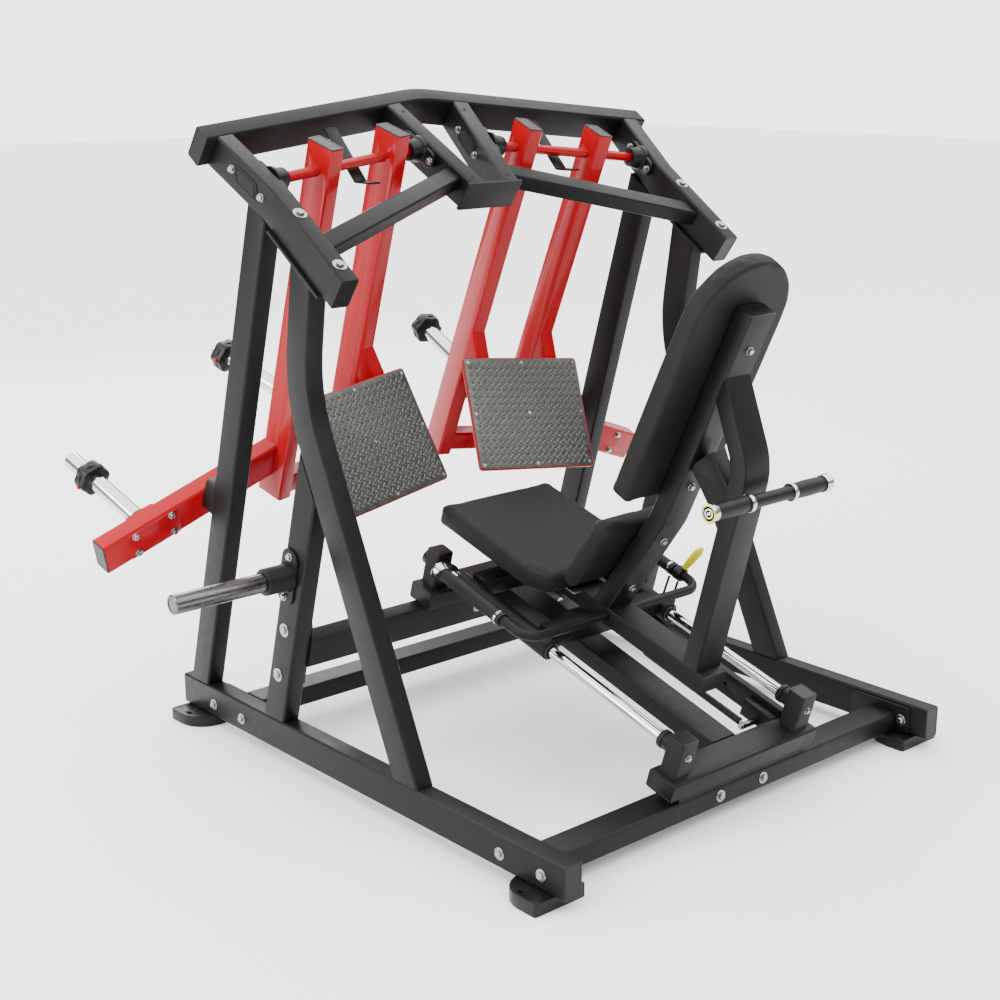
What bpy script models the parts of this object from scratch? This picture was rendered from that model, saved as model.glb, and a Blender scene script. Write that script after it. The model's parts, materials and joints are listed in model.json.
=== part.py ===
"""A plate-loaded leg press with two swinging press arms and a seat that slides on rods.

X points to the user's right, +Y from the seat to the foot plates, and +Z up, in metres.
The machine is symmetric but for the seat's lock and gas spring, which are on the right.
Every paired piece is shaped once, on the right, and mirrored for the left.
"""

import math

import bpy
import numpy as np

# ---- Driving dimensions ----------------------------------------------------------------

GAP = 0.0003  # left between two pieces that touch
RUNNING = 0.00008  # radial clearance of a shaft that turns or slides in its bore

TUBE_WIDTH = 0.058  # every frame tube, seen along the machine
TUBE_DEPTH = 0.0955  # every frame tube, the other way
TUBE_CORNER = 0.005

SIDE_X = 0.736  # middle of each base rail and of the legs above it
INNER_X = SIDE_X - TUBE_WIDTH / 2
OUTER_X = SIDE_X + TUBE_WIDTH / 2
RAIL_LENGTH = 1.711
FOOT_THICKNESS = 0.035
RAIL_TOP = FOOT_THICKNESS + TUBE_DEPTH

LEG_LEAN = math.radians(15.6)  # rear uprights and front legs, top towards the seat
BRACE_LEAN = math.radians(24.9)  # the curved brace below its bend
BRACE_BACK_LEAN = math.radians(-7.8)  # and above it
TRACK_RISE = math.radians(16.0)  # the seat track climbs towards the foot plates
TOP_RISE = math.radians(34.9)  # so does the top frame
TOP_SPLAY = math.radians(10.0)  # each half of the top bar, and the pivot shaft under it
ARM_HANG = math.radians(15.0)  # the arms, from square to the top frame
BACK_LEAN = math.radians(25.0)
LUMBAR_LEAN = math.radians(35.3)

SHAFT_RADIUS = 0.015
ROD_RADIUS = 0.016
SLEEVE_RADIUS = 0.025
ROUND = 32  # sides of a round piece
SMALL_ROUND = 16

# ---- Small vector tools ----------------------------------------------------------------


def point(x, y, z):
    return np.array([x, y, z], float)


def unit(vector):
    return vector / np.linalg.norm(vector)


X = point(1, 0, 0)
Y = point(0, 1, 0)
Z = point(0, 0, 1)


class Axes:
    """An origin and three directions. at(a, b, c) is the point a, b and c along them."""

    def __init__(self, origin, first, second, third):
        self.origin = origin
        self.first = first
        self.second = second
        self.third = third

    def at(self, a, b, c):
        return self.origin + a * self.first + b * self.second + c * self.third


def plane(where, normal):
    return where, unit(normal)


def moved_plane(cut, distance):
    """The same plane, moved along its normal."""
    where, normal = cut
    return where + normal * distance, normal


def leaning(angle):
    """Up, tipped back towards the seat by this angle."""
    return point(0, -math.sin(angle), math.cos(angle))


WORLD = Axes(point(0, 0, 0), X, Y, Z)

track_along = point(0, math.cos(TRACK_RISE), math.sin(TRACK_RISE))
track_up = point(0, -math.sin(TRACK_RISE), math.cos(TRACK_RISE))
# Across, along and up: the origin is the lower end of the track's top surface.
TRACK = Axes(point(0, 0.0774, 0.1638), X, track_along, track_up)

top_slope = point(0, math.cos(TOP_RISE), math.sin(TOP_RISE))
top_lift = point(0, -math.sin(TOP_RISE), math.cos(TOP_RISE))
# Across, up the slope, and out of the top frame's upper surface.
TOP = Axes(point(0, 1.365, 1.8126), X, top_slope, top_lift)

shaft_axis = math.cos(TOP_SPLAY) * X - math.sin(TOP_SPLAY) * top_slope
arm_level = math.sin(TOP_SPLAY) * X + math.cos(TOP_SPLAY) * top_slope
arm_far = math.cos(ARM_HANG) * arm_level - math.sin(ARM_HANG) * top_lift
arm_down = -math.sin(ARM_HANG) * arm_level - math.cos(ARM_HANG) * top_lift
SHAFT_DROP = 0.034
ARM = Axes(TOP.at(0.426, -0.1545, -SHAFT_DROP), shaft_axis, arm_down, arm_far)

# ---- Shapes: (points, faces) -----------------------------------------------------------


def rectangle(width, depth, corner=TUBE_CORNER):
    """A tube's outline, its corners cut."""
    w = width / 2
    d = depth / 2
    quarter = [(w, d - corner), (w - corner, d)]
    ring = []
    for sx, sy in ((1, 1), (-1, 1), (-1, -1), (1, -1)):
        pair = [(sx * a, sy * b) for a, b in quarter]
        ring += pair if sx * sy > 0 else pair[::-1]
    return np.array(ring)


def circle(radius, sides=ROUND):
    turn = np.arange(sides) * 2 * math.pi / sides
    return radius * np.stack([np.cos(turn), np.sin(turn)], 1)


def rounded(corners, radii, steps=6, closed=False):
    """A path with each corner of a given radius turned into an arc. A radius of 0 stays sharp."""
    corners = [np.asarray(c, float) for c in corners]
    path = []
    count = len(corners)
    for i, (corner, radius) in enumerate(zip(corners, radii)):
        ends = not closed and i in (0, count - 1)
        if ends or radius == 0:
            path.append(corner)
            continue
        back = unit(corners[i - 1] - corner)
        on = unit(corners[(i + 1) % count] - corner)
        half = math.acos(np.clip(back @ on, -1, 1)) / 2
        centre = corner + unit(back + on) * radius / math.sin(half)
        first = corner + back * radius / math.tan(half) - centre
        last = corner + on * radius / math.tan(half) - centre
        whole = math.pi - 2 * half
        for share in np.linspace(0, 1, steps + 1):
            a = math.sin((1 - share) * whole) / math.sin(whole)
            b = math.sin(share * whole) / math.sin(whole)
            path.append(centre + a * first + b * last)
    return np.array(path)


def outward(shape):
    """The shape with its faces turned outwards."""
    points, faces = shape
    volume = 0
    for face in faces:
        for i in range(1, len(face) - 1):
            a, b, c = points[face[0]], points[face[i]], points[face[i + 1]]
            volume += np.dot(a, np.cross(b, c))
    return shape if volume > 0 else (points, [face[::-1] for face in faces])


def skin(rings):
    """A closed solid through rings of equally many points."""
    count = len(rings[0])
    faces = [list(range(count))[::-1]]
    for i in range(len(rings) - 1):
        low = i * count
        high = low + count
        for j in range(count):
            k = (j + 1) % count
            faces.append([low + j, low + k, high + k, high + j])
    faces.append([(len(rings) - 1) * count + j for j in range(count)])
    return outward((np.concatenate(rings), faces))


def sweep(section, path, across, start=None, end=None):
    """A section carried along a flat path, mitred at its corners, its ends cut by planes."""
    path = np.asarray(path, float)
    steps = [unit(b - a) for a, b in zip(path[:-1], path[1:])]
    rings = []
    for i, here in enumerate(path):
        step = steps[min(i, len(steps) - 1)]
        if i == 0:
            where, normal = start or (here, step)
        elif i == len(path) - 1:
            where, normal = end or (here, step)
        else:
            where, normal = here, unit(steps[i - 1] + steps[i])
        depth = unit(np.cross(step, across))
        lines = here + section[:, :1] * across + section[:, 1:] * depth
        reach = ((where - lines) @ normal) / (step @ normal)
        rings.append(lines + reach[:, None] * step)
    return skin(rings)


def bar(section, start, end, across):
    return sweep(section, [start, end], across)


def cylinder(start, end, radius, sides=ROUND):
    step = unit(end - start)
    across = unit(np.cross(step, Z if abs(step @ Z) < 0.9 else Y))
    return bar(circle(radius, sides), start, end, across)


def block(axes, low, high, corner=0.003):
    """A box between two corners in these axes, its edges along the second axis cut."""
    middle = (np.array(low) + np.array(high)) / 2
    size = np.array(high) - np.array(low)
    section = rectangle(size[0], size[2], corner)
    start = axes.at(middle[0], low[1], middle[2])
    end = axes.at(middle[0], high[1], middle[2])
    return bar(section, start, end, axes.first)


def slab(axes, outline, low, high):
    """A flat outline in the first two axes, standing from low to high on the third."""
    rings = []
    for height in (low, high):
        rings.append(np.array([axes.at(a, b, height) for a, b in outline]))
    return skin(rings)


def inset(outline, distance):
    """A convex outline with every side moved inwards."""
    centre = outline.mean(axis=0)
    before = np.roll(outline, 1, axis=0)
    after = np.roll(outline, -1, axis=0)
    tangent = after - before
    tangent /= np.linalg.norm(tangent, axis=1)[:, None]
    normal = np.stack([-tangent[:, 1], tangent[:, 0]], 1)
    inwards = np.sign(((centre - outline) * normal).sum(axis=1))
    return outline + normal * inwards[:, None] * distance


def pad(axes, outline, low, high, edge=0.012):
    """A cushion's block: a slab whose top and bottom edges are cut."""
    small = inset(outline, edge)
    levels = ((small, low), (outline, low + edge), (outline, high - edge), (small, high))
    rings = [np.array([axes.at(a, b, c) for a, b in ring]) for ring, c in levels]
    return skin(rings)


# ---- Solids from shapes ----------------------------------------------------------------


def mesh_object(name, shape):
    points, faces = shape
    mesh = bpy.data.meshes.new(name)
    mesh.from_pydata(points.tolist(), [], [list(map(int, face)) for face in faces])
    mesh.update()
    obj = bpy.data.objects.new(name, mesh)
    bpy.context.scene.collection.objects.link(obj)
    return obj


def boolean(operation, shape, others):
    """The shape with others joined to it or cut from it, one after another.

    The exact solver leaves open edges where several tilted boxes meet, and this one doesn't.
    """
    body = mesh_object("work", shape)
    tools = [mesh_object("tool", other) for other in others]
    for tool in tools:
        modifier = body.modifiers.new("cut", "BOOLEAN")
        modifier.operation = operation
        modifier.solver = "MANIFOLD"
        modifier.object = tool
    bpy.context.view_layer.update()
    graph = bpy.context.evaluated_depsgraph_get()
    made = bpy.data.meshes.new_from_object(body.evaluated_get(graph))
    points = np.array([vertex.co[:] for vertex in made.vertices])
    faces = [list(face.vertices) for face in made.polygons]
    bpy.data.meshes.remove(made)
    for obj in [body, *tools]:
        mesh = obj.data
        bpy.data.objects.remove(obj)
        bpy.data.meshes.remove(mesh)
    return points, faces


def joined(shape, *others):
    return boolean("UNION", shape, others)


def carved(shape, *cutters):
    return boolean("DIFFERENCE", shape, cutters)


def mirrored(shape):
    points, faces = shape
    return points * np.array([-1, 1, 1]), [face[::-1] for face in faces]


# ---- Materials and nodes ---------------------------------------------------------------

FINISHES = {  # colour, roughness, metallic
    "black_paint": ((0.022, 0.022, 0.024), 0.45, 0.3),
    "red_paint": ((0.60, 0.012, 0.016), 0.22, 0.2),
    "chrome": ((0.80, 0.80, 0.82), 0.12, 1.0),
    "satin_steel": ((0.55, 0.54, 0.52), 0.32, 1.0),
    "tread_sheet": ((0.24, 0.24, 0.21), 0.42, 0.8),
    "leatherette": ((0.030, 0.026, 0.025), 0.55, 0.0),
    "black_rubber": ((0.018, 0.018, 0.018), 0.75, 0.0),
    "black_plastic": ((0.015, 0.015, 0.016), 0.35, 0.0),
    "yellow_plastic": ((0.72, 0.76, 0.03), 0.35, 0.0),
}


def finish(name):
    material = bpy.data.materials.get(name)
    if material:
        return material
    colour, roughness, metallic = FINISHES[name]
    material = bpy.data.materials.new(name)
    material.use_nodes = True
    shader = material.node_tree.nodes["Principled BSDF"]
    shader.inputs["Base Color"].default_value = (*colour, 1)
    shader.inputs["Roughness"].default_value = roughness
    shader.inputs["Metallic"].default_value = metallic
    return material


def add(name, shape, material, pivot=None, smooth=True):
    """One node of the machine. A moving piece has its origin at the pivot of its joint."""
    origin = np.zeros(3) if pivot is None else pivot
    points, faces = shape
    obj = mesh_object(name, (points - origin, faces))
    obj.location = origin
    obj.data.materials.append(finish(material))
    if smooth:
        obj.data.shade_smooth()
        obj.data.set_sharp_from_angle(angle=math.radians(35))


def add_pair(name, shape, material, pivot=None):
    add(name + "_right", shape, material, pivot)
    other = None if pivot is None else pivot * np.array([-1, 1, 1])
    add(name + "_left", mirrored(shape), material, other)


# ---- Base and side frames --------------------------------------------------------------

FRAME_TUBE = rectangle(TUBE_WIDTH, TUBE_DEPTH)


def base_rail():
    return block(WORLD, (INNER_X, 0, FOOT_THICKNESS + GAP), (OUTER_X, RAIL_LENGTH, RAIL_TOP), TUBE_CORNER)


def foot(flat_end, inwards):
    """A pad under the rail: one flat end, one round, and a hole to bolt it down."""
    width = 0.17
    length = 0.145
    middle = 0.740
    near = flat_end
    far = flat_end + inwards * length
    half = width / 2
    corners = [
        (middle - half, near),
        (middle - half, far),
        (middle + half, far),
        (middle + half, near),
    ]
    round_end = half * 0.98
    outline = rounded(corners, [0.008, round_end, round_end, 0.008], closed=True)
    hole_x = 0.803
    hole_y = flat_end + inwards * 0.075
    hole = cylinder(point(hole_x, hole_y, -0.01), point(hole_x, hole_y, 0.06), 0.007, SMALL_ROUND)
    return carved(slab(WORLD, outline, 0, FOOT_THICKNESS), hole)


def leg_foot(y):
    """Where a leg's middle line meets the rail."""
    return point(SIDE_X, y, RAIL_TOP)


def rail_cut():
    return plane(point(SIDE_X, 0, RAIL_TOP + GAP), Z)


def top_frame_underside():
    return plane(TOP.at(0, 0, -TUBE_DEPTH - GAP), top_lift)


MOUNTING_PLATE = 0.008


def rear_upright():
    start = leg_foot(1.6225)
    end = start + 1.5 * leaning(LEG_LEAN)
    section = rectangle(TUBE_WIDTH, 0.090)
    return sweep(section, [start, end], X, rail_cut(), top_frame_underside())


BRACE_FOOT_Y = 0.610
BRACE_BEND = point(SIDE_X, 1.0655, 1.112)


def brace_direction():
    return point(0, math.sin(BRACE_LEAN), math.cos(BRACE_LEAN))


def side_brace():
    """The long curved member from the rail to the underside of the side beam."""
    top = BRACE_BEND + 0.4 * point(0, math.sin(BRACE_BACK_LEAN), math.cos(BRACE_BACK_LEAN))
    path = rounded([leg_foot(BRACE_FOOT_Y), BRACE_BEND, top], [0, 0.45, 0], steps=8)
    under_plate = moved_plane(top_frame_underside(), -MOUNTING_PLATE)
    return sweep(FRAME_TUBE, path, X, rail_cut(), under_plate)


def front_leg():
    """A leg from the rail up to the far side of the curved brace."""
    start = leg_foot(1.2225)
    end = start + 0.8 * leaning(math.atan(0.27))
    up = brace_direction()
    far = np.cross(up, X)
    far = far if far[1] > 0 else -far
    against = plane(leg_foot(BRACE_FOOT_Y) + far * (TUBE_DEPTH / 2 + GAP), far)
    return sweep(FRAME_TUBE, [start, end], X, rail_cut(), against)


HORN_CENTRE = point(OUTER_X, 1.115, 0.589)
HORN_TIP_X = 1.141


def storage_horn():
    """A fixed horn for spare plates: a bolted flange, a collar and a round bar."""
    lean = leaning(math.atan(0.27))
    face = Axes(HORN_CENTRE + GAP * X, np.cross(lean, X), lean, X)
    outline = rounded(
        [(-0.036, -0.085), (0.036, -0.085), (0.036, 0.085), (-0.036, 0.085)],
        [0.03] * 4,
        closed=True,
    )
    flange = slab(face, outline, 0, 0.008)
    collar = cylinder(face.at(0, 0, 0.004), face.at(0, 0, 0.090), 0.0385)
    start = face.at(0, 0, 0.05)
    tip = start + (HORN_TIP_X - start[0]) * X
    return joined(flange, collar, cylinder(start, tip, 0.0275))


def crossbar(y_low, y_high, z_low, z_high):
    reach = INNER_X - GAP
    axes = Axes(point(0, 0, 0), Y, X, Z)
    return block(axes, (y_low, -reach, z_low), (y_high, reach, z_high), TUBE_CORNER)


# ---- Top frame -------------------------------------------------------------------------


def in_top(x, slope, depth=TUBE_DEPTH / 2):
    """A point of the top frame, this far below its upper surface."""
    return TOP.at(x, slope, -depth)


TOP_BAR_REACH = 0.84


def top_bar_far_edge(x):
    return (TOP_BAR_REACH - abs(x)) * math.tan(TOP_SPLAY)


def top_bar():
    """The bent bar across the top, its two halves splayed down from the middle."""
    offset = TUBE_WIDTH / 2 / math.cos(TOP_SPLAY)
    ends = [in_top(side * TOP_BAR_REACH, -offset) for side in (-1, 1)]
    middle = in_top(0, top_bar_far_edge(0) - offset)
    path = rounded([ends[0], middle, ends[1]], [0, 0.3, 0])
    section = rectangle(TUBE_DEPTH, TUBE_WIDTH)
    return sweep(section, path, top_lift, plane(ends[0], X), plane(ends[1], X))


def top_bar_near_side():
    """The near face of the top bar's right half, facing down the slope."""
    near = top_bar_far_edge(0.5) - TUBE_WIDTH / math.cos(TOP_SPLAY)
    return plane(in_top(0.5, near) - GAP * arm_level, arm_level)


SIDE_BEAM_BEND = (SIDE_X, -0.293)
SIDE_BEAM_TOP = (SIDE_X + 0.245 * math.tan(TOP_SPLAY), -0.048)
SIDE_BEAM_END = -0.645


def side_beam():
    """From the top bar down over the brace, with the plate that the brace bolts to."""
    path = rounded(
        [in_top(*SIDE_BEAM_TOP), in_top(*SIDE_BEAM_BEND), in_top(SIDE_X, SIDE_BEAM_END)],
        [0, 0.2, 0],
    )
    section = rectangle(TUBE_DEPTH, TUBE_WIDTH)
    beam = sweep(section, path, top_lift, top_bar_near_side())
    low = (SIDE_X - 0.040, -0.600, -TUBE_DEPTH - MOUNTING_PLATE)
    high = (SIDE_X + 0.040, -0.330, -TUBE_DEPTH + 0.001)
    return joined(beam, block(TOP, low, high, 0.001))


CENTRE_BEAM_TOP = (0.1305, 0.0668)
CENTRE_BEAM_END = (0.0644, -0.3084)


def centre_beam_side():
    """The outer face of the right centre beam."""
    where = in_top(*CENTRE_BEAM_TOP) + shaft_axis * (TUBE_WIDTH / 2)
    return plane(where, shaft_axis)


def centre_frame():
    """Two beams that come together at a plate across their lower ends."""
    section = rectangle(TUBE_DEPTH, TUBE_WIDTH)
    start = in_top(*CENTRE_BEAM_TOP)
    end = in_top(*CENTRE_BEAM_END)
    beam = sweep(section, [start, end], top_lift, top_bar_near_side(), plane(end, top_slope))
    slope = CENTRE_BEAM_END[1]
    plate = block(TOP, (-0.105, slope - 0.006, -TUBE_DEPTH), (0.105, slope + 0.001, -0.0005), 0.003)
    return joined(beam, mirrored(beam), plate)


FRONT_BAR_DEPTH = 0.050
FRONT_BAR_DROP = 0.012


def front_bar():
    depth = FRONT_BAR_DROP + FRONT_BAR_DEPTH / 2
    start = in_top(0.117, -0.2475, depth)
    end = in_top(INNER_X, -0.483, depth)
    section = rectangle(FRONT_BAR_DEPTH, TUBE_WIDTH)
    inner_cut = moved_plane(centre_beam_side(), GAP)
    outer_cut = plane(in_top(INNER_X - GAP, 0), X)
    return sweep(section, [start, end], top_lift, inner_cut, outer_cut)


# ---- Pivot shafts and press arms -------------------------------------------------------

BEARING_INNER_FACE = 0.2445  # from the middle of the shaft to each bearing's face
BEARING_DEPTH = 0.035  # how far the shaft runs into a bearing
OUTER_ARM = 0.098
INNER_ARM = -0.1693
ARM_WIDTH = 0.050
ARM_DEPTH = 0.100
ARM_TOP = -0.075
ARM_BOTTOM = 1.065
ARM_TUBE = rectangle(ARM_WIDTH, ARM_DEPTH)


def side_beam_inner_face():
    """The inner face of the side beam's upper part, which faces the bearing."""
    return plane(in_top(*SIDE_BEAM_TOP) - shaft_axis * TUBE_WIDTH / 2, shaft_axis)


def distance_to(cut, start, step):
    where, normal = cut
    return ((where - start) @ normal) / (step @ normal)


def shaft_bearing(outwards, against):
    """A two-bolt flange bearing: an oval flange, a round housing and the shaft's bore."""
    wall = distance_to(against, ARM.origin, shaft_axis) - outwards * GAP
    step = outwards * shaft_axis
    base = ARM.origin + wall * shaft_axis
    face = Axes(base, arm_level, top_lift, step)
    outline = rounded(
        [(-0.062, -0.022), (0.062, -0.022), (0.062, 0.022), (-0.062, 0.022)],
        [0.021] * 4,
        closed=True,
    )
    flange = slab(face, outline, -0.014, 0)
    mouth = ARM.at(outwards * BEARING_INNER_FACE, 0, 0)
    housing = cylinder(mouth, base - 0.001 * step, 0.031)
    bore_end = ARM.at(outwards * (BEARING_INNER_FACE + BEARING_DEPTH + 0.002), 0, 0)
    bore = cylinder(mouth - 0.01 * step, bore_end, SHAFT_RADIUS + RUNNING)
    return carved(joined(flange, housing), bore)


WEIGHT_ARM_START = (OUTER_ARM, 0.936, 0.022)
WEIGHT_ARM_LENGTH = 0.608
weight_along = unit(shaft_axis + 0.309 * arm_down + 0.079 * arm_far)
weight_far = unit(arm_far - (arm_far @ weight_along) * weight_along)
weight_down = np.cross(weight_far, weight_along)
WEIGHT = Axes(ARM.at(*WEIGHT_ARM_START), weight_along, weight_far, weight_down)
WEIGHT_WIDTH = 0.0585
WEIGHT_HEIGHT = 0.1035

PLATE_CENTRE = (-0.036, 0.793, -0.254)
plate_down = unit(arm_down - arm_far)
plate_far = unit(arm_down + arm_far)
PLATE = Axes(ARM.at(*PLATE_CENTRE), shaft_axis, plate_down, plate_far)
PLATE_WIDTH = 0.446
PLATE_HEIGHT = 0.371
PLATE_THICKNESS = 0.012

CROSSBAR_HEIGHT = 0.064
LOWER_CROSSBAR = 1.020
UPPER_CROSSBAR = 0.837


def arm_tube(across):
    return bar(ARM_TUBE, ARM.at(across, ARM_TOP, 0), ARM.at(across, ARM_BOTTOM, 0), shaft_axis)


def plate_stub(across):
    """A short tube that leaves the arm's near face and runs down behind the foot plate."""
    depth = 0.080
    middle = PLATE_THICKNESS + GAP + depth / 2
    sideways = across - PLATE_CENTRE[0]
    start = PLATE.at(sideways, -0.30, middle)
    end = PLATE.at(sideways, 0.150, middle)
    inside_arm = plane(ARM.at(0, 0, -0.02), -arm_far)
    section = rectangle(ARM_WIDTH - 0.001, depth)
    return sweep(section, [start, end], shaft_axis, inside_arm)


def arm_crossbar(down, far):
    middle = [ARM.at(across, down, far) for across in (INNER_ARM, OUTER_ARM)]
    return bar(rectangle(0.056, CROSSBAR_HEIGHT), middle[0], middle[1], arm_far)


def weight_arm():
    section = rectangle(WEIGHT_WIDTH, WEIGHT_HEIGHT)
    return bar(section, WEIGHT.at(0, 0, 0), WEIGHT.at(WEIGHT_ARM_LENGTH + ARM_WIDTH / 2, 0, 0), weight_far)


def press_arm():
    """Two tubes on one shaft, tied by two crossbars, with the arm that carries the plates."""
    reach = BEARING_INNER_FACE + BEARING_DEPTH
    shaft = cylinder(ARM.at(-reach, 0, 0), ARM.at(reach, 0, 0), SHAFT_RADIUS)
    return joined(
        arm_tube(OUTER_ARM),
        shaft,
        arm_tube(INNER_ARM),
        arm_crossbar(LOWER_CROSSBAR, -0.0215),
        arm_crossbar(UPPER_CROSSBAR, 0.0),
        plate_stub(OUTER_ARM),
        plate_stub(INNER_ARM),
        weight_arm(),
    )


def foot_plate():
    half_width = PLATE_WIDTH / 2
    half_height = PLATE_HEIGHT / 2
    outline = rounded(
        [
            (-half_width, -half_height),
            (half_width, -half_height),
            (half_width, half_height),
            (-half_width, half_height),
        ],
        [0.014] * 4,
        closed=True,
    )
    return slab(PLATE, outline, 0, PLATE_THICKNESS)


LOWER_SLEEVE_LENGTH = 0.375
UPPER_SLEEVE_LENGTH = 0.443
COLLAR_LENGTH = 0.045


def sleeve(base, along, length):
    """A round bar for weight plates, with the flange that the first plate rests on."""
    flange = cylinder(base + GAP * along, base + 0.014 * along, 0.045)
    return joined(flange, cylinder(base + 0.005 * along, base + length * along, SLEEVE_RADIUS))


def spring_collar(base, along, start):
    """A six-sided collar that slides on a sleeve and holds the plates."""
    low = base + start * along
    high = low + COLLAR_LENGTH * along
    grip = cylinder(low, high, 0.044, 6)
    spare = 0.01 * along
    return carved(grip, cylinder(low - spare, high + spare, SLEEVE_RADIUS + RUNNING))


def lower_sleeve_base():
    return WEIGHT.at(ARM_WIDTH / 2 + 0.443, WEIGHT_WIDTH / 2, 0)


def upper_sleeve_base():
    return ARM.at(-0.048, UPPER_CROSSBAR, 0.028)


def bumper():
    """A rubber block on the rear upright, which stops the weight arm."""
    height = 0.715
    upright = leg_foot(1.6225) + (height - RAIL_TOP) / math.cos(LEG_LEAN) * leaning(LEG_LEAN)
    out = point(0, math.cos(LEG_LEAN), math.sin(LEG_LEAN))
    start = upright + out * (0.045 + GAP)
    against = plane(WEIGHT.at(0, -WEIGHT_WIDTH / 2 - GAP, 0), weight_far)
    section = rectangle(0.050, 0.100, 0.006)
    return sweep(section, [start, start + 0.05 * out], X, None, against)


# ---- Seat track ------------------------------------------------------------------------

GUIDE_X = 0.243
GUIDE_UP = 0.065
BLOCK_WIDTH = 0.060
TRACK_BEAM_DEPTH = 0.0562
FRONT_BEAM = (1.021, 1.116)
REAR_BEAM = (0.0, 0.095)
REAR_BLOCK = (0.021, 0.080)
FRONT_BLOCK = (1.050, 1.106)
ROD_COLLAR_LENGTH = 0.035
ROD_COLLAR_RADIUS = 0.0245
LOCK_BAR = (0.236, 0.261)  # across
LOCK_UP = -0.020
LOCK_PITCH = 0.030
LOCK_FIRST = 0.300
LOCK_HOLES = 13
PIN_ALONG = LOCK_FIRST + (LOCK_HOLES - 2) * LOCK_PITCH  # one hole is left in front of the seat
PIN_RADIUS = 0.006


def track_beam(along, half_width):
    low = (along[0], -half_width, -TRACK_BEAM_DEPTH)
    high = (along[1], half_width, 0)
    turned = Axes(TRACK.origin, track_along, X, track_up)
    return block(turned, low, high, TUBE_CORNER)


def rod_block(side, along, top):
    middle = side * (GUIDE_X + 0.001)
    turned = Axes(TRACK.origin, X, track_up, track_along)
    low = (middle - BLOCK_WIDTH / 2, -0.010, along[0])
    high = (middle + BLOCK_WIDTH / 2, top, along[1])
    return block(turned, low, high, 0.004)


def guide(side, start, end, radius, sides=ROUND):
    x = side * GUIDE_X
    return cylinder(TRACK.at(x, start, GUIDE_UP), TRACK.at(x, end, GUIDE_UP), radius, sides)


def saddle():
    """The wedge between the level crossbar and the tilted rear beam."""
    turned = Axes(point(0, 0, 0), Y, Z, X)
    base = 0.095 + GAP
    lower = TRACK.at(0, 0.010, -TRACK_BEAM_DEPTH + 0.002)
    upper = TRACK.at(0, 0.085, -TRACK_BEAM_DEPTH + 0.002)
    outline = [(lower[1], base), (upper[1], base), (upper[1], upper[2]), (lower[1], lower[2])]
    return slab(turned, outline, -0.250, 0.250)


def track_rear_beam():
    pieces = [saddle()]
    bores = []
    for side in (-1, 1):
        collar_end = REAR_BLOCK[1] + ROD_COLLAR_LENGTH
        pieces.append(rod_block(side, REAR_BLOCK, 0.1065))
        pieces.append(guide(side, REAR_BLOCK[1] - 0.01, collar_end, ROD_COLLAR_RADIUS))
        bores.append(guide(side, REAR_BLOCK[0] + 0.015, collar_end + 0.01, ROD_RADIUS + GAP))
    return carved(joined(track_beam(REAR_BEAM, 0.291), *pieces), *bores)


def track_front_beam():
    pieces = []
    bores = []
    for side in (-1, 1):
        collar_end = FRONT_BLOCK[0] - ROD_COLLAR_LENGTH
        pieces.append(rod_block(side, FRONT_BLOCK, 0.1095))
        pieces.append(guide(side, collar_end, FRONT_BLOCK[1] + 0.020, ROD_COLLAR_RADIUS))
        bores.append(guide(side, collar_end - 0.01, FRONT_BLOCK[1] - 0.015, ROD_RADIUS + GAP))
    return carved(joined(track_beam(FRONT_BEAM, 0.297), *pieces), *bores)


def guide_rod():
    return guide(1, REAR_BLOCK[0] + 0.015 + GAP, FRONT_BLOCK[1] - 0.015 - GAP, ROD_RADIUS)


def between_beams(low_x, high_x, low_up, high_up, corner=0.002):
    low = (low_x, REAR_BEAM[1] + GAP, low_up)
    high = (high_x, FRONT_BEAM[0] - GAP, high_up)
    return block(TRACK, low, high, corner)


def lock_rack():
    """The right side bar, with the row of lock holes and the gas spring's bracket."""
    rack = between_beams(*LOCK_BAR, -TRACK_BEAM_DEPTH, 0.015)
    low = (0.201, REAR_BEAM[1] + GAP, -0.0535)
    bracket = block(TRACK, low, (LOCK_BAR[0] + 0.002, 0.201, -0.0005))
    holes = []
    for i in range(LOCK_HOLES):
        along = LOCK_FIRST + i * LOCK_PITCH
        start = TRACK.at(LOCK_BAR[0] - 0.01, along, LOCK_UP)
        end = TRACK.at(LOCK_BAR[1] + 0.01, along, LOCK_UP)
        holes.append(cylinder(start, end, PIN_RADIUS + 0.0004, 12))
    return carved(joined(rack, bracket), *holes)


GAS_X = 0.150
GAS_UP = -0.035
GAS_EYE = 0.140
GAS_TUBE = (0.156, 0.545)
GAS_ROD_RADIUS = 0.005


def gas(start, end, radius, sides=SMALL_ROUND):
    return cylinder(TRACK.at(GAS_X, start, GAS_UP), TRACK.at(GAS_X, end, GAS_UP), radius, sides)


def gas_cylinder():
    """The gas spring's tube, its threaded end and the eye bolted to the bracket."""
    eye = cylinder(TRACK.at(0.135, GAS_EYE, GAS_UP), TRACK.at(0.201 - GAP, GAS_EYE, GAS_UP), 0.010, SMALL_ROUND)
    solid = joined(gas(*GAS_TUBE, 0.011), gas(GAS_EYE, GAS_TUBE[0] + 0.005, 0.006), eye)
    return carved(solid, gas(GAS_TUBE[0] + 0.006, GAS_TUBE[1] + 0.01, GAS_ROD_RADIUS + RUNNING))


# ---- Seat carriage ---------------------------------------------------------------------

HOUSING = (0.566, 0.969)
HOUSING_RADIUS = 0.030
BEAM_UP = (0.102, 0.157)
SEAT_BEAM = (0.184, 0.952)
REAR_MEMBER = (0.590, 0.648)
FRONT_MEMBER = (0.893, 0.946)
SEAT_PLATE_TOP = 0.168
BARREL = (0.266, 0.312)
HANDLE_UP = 0.132
HANDLE_X = 0.351
HANDLE_RADIUS = 0.0145
HANDLE_ALONG = 0.564


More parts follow.
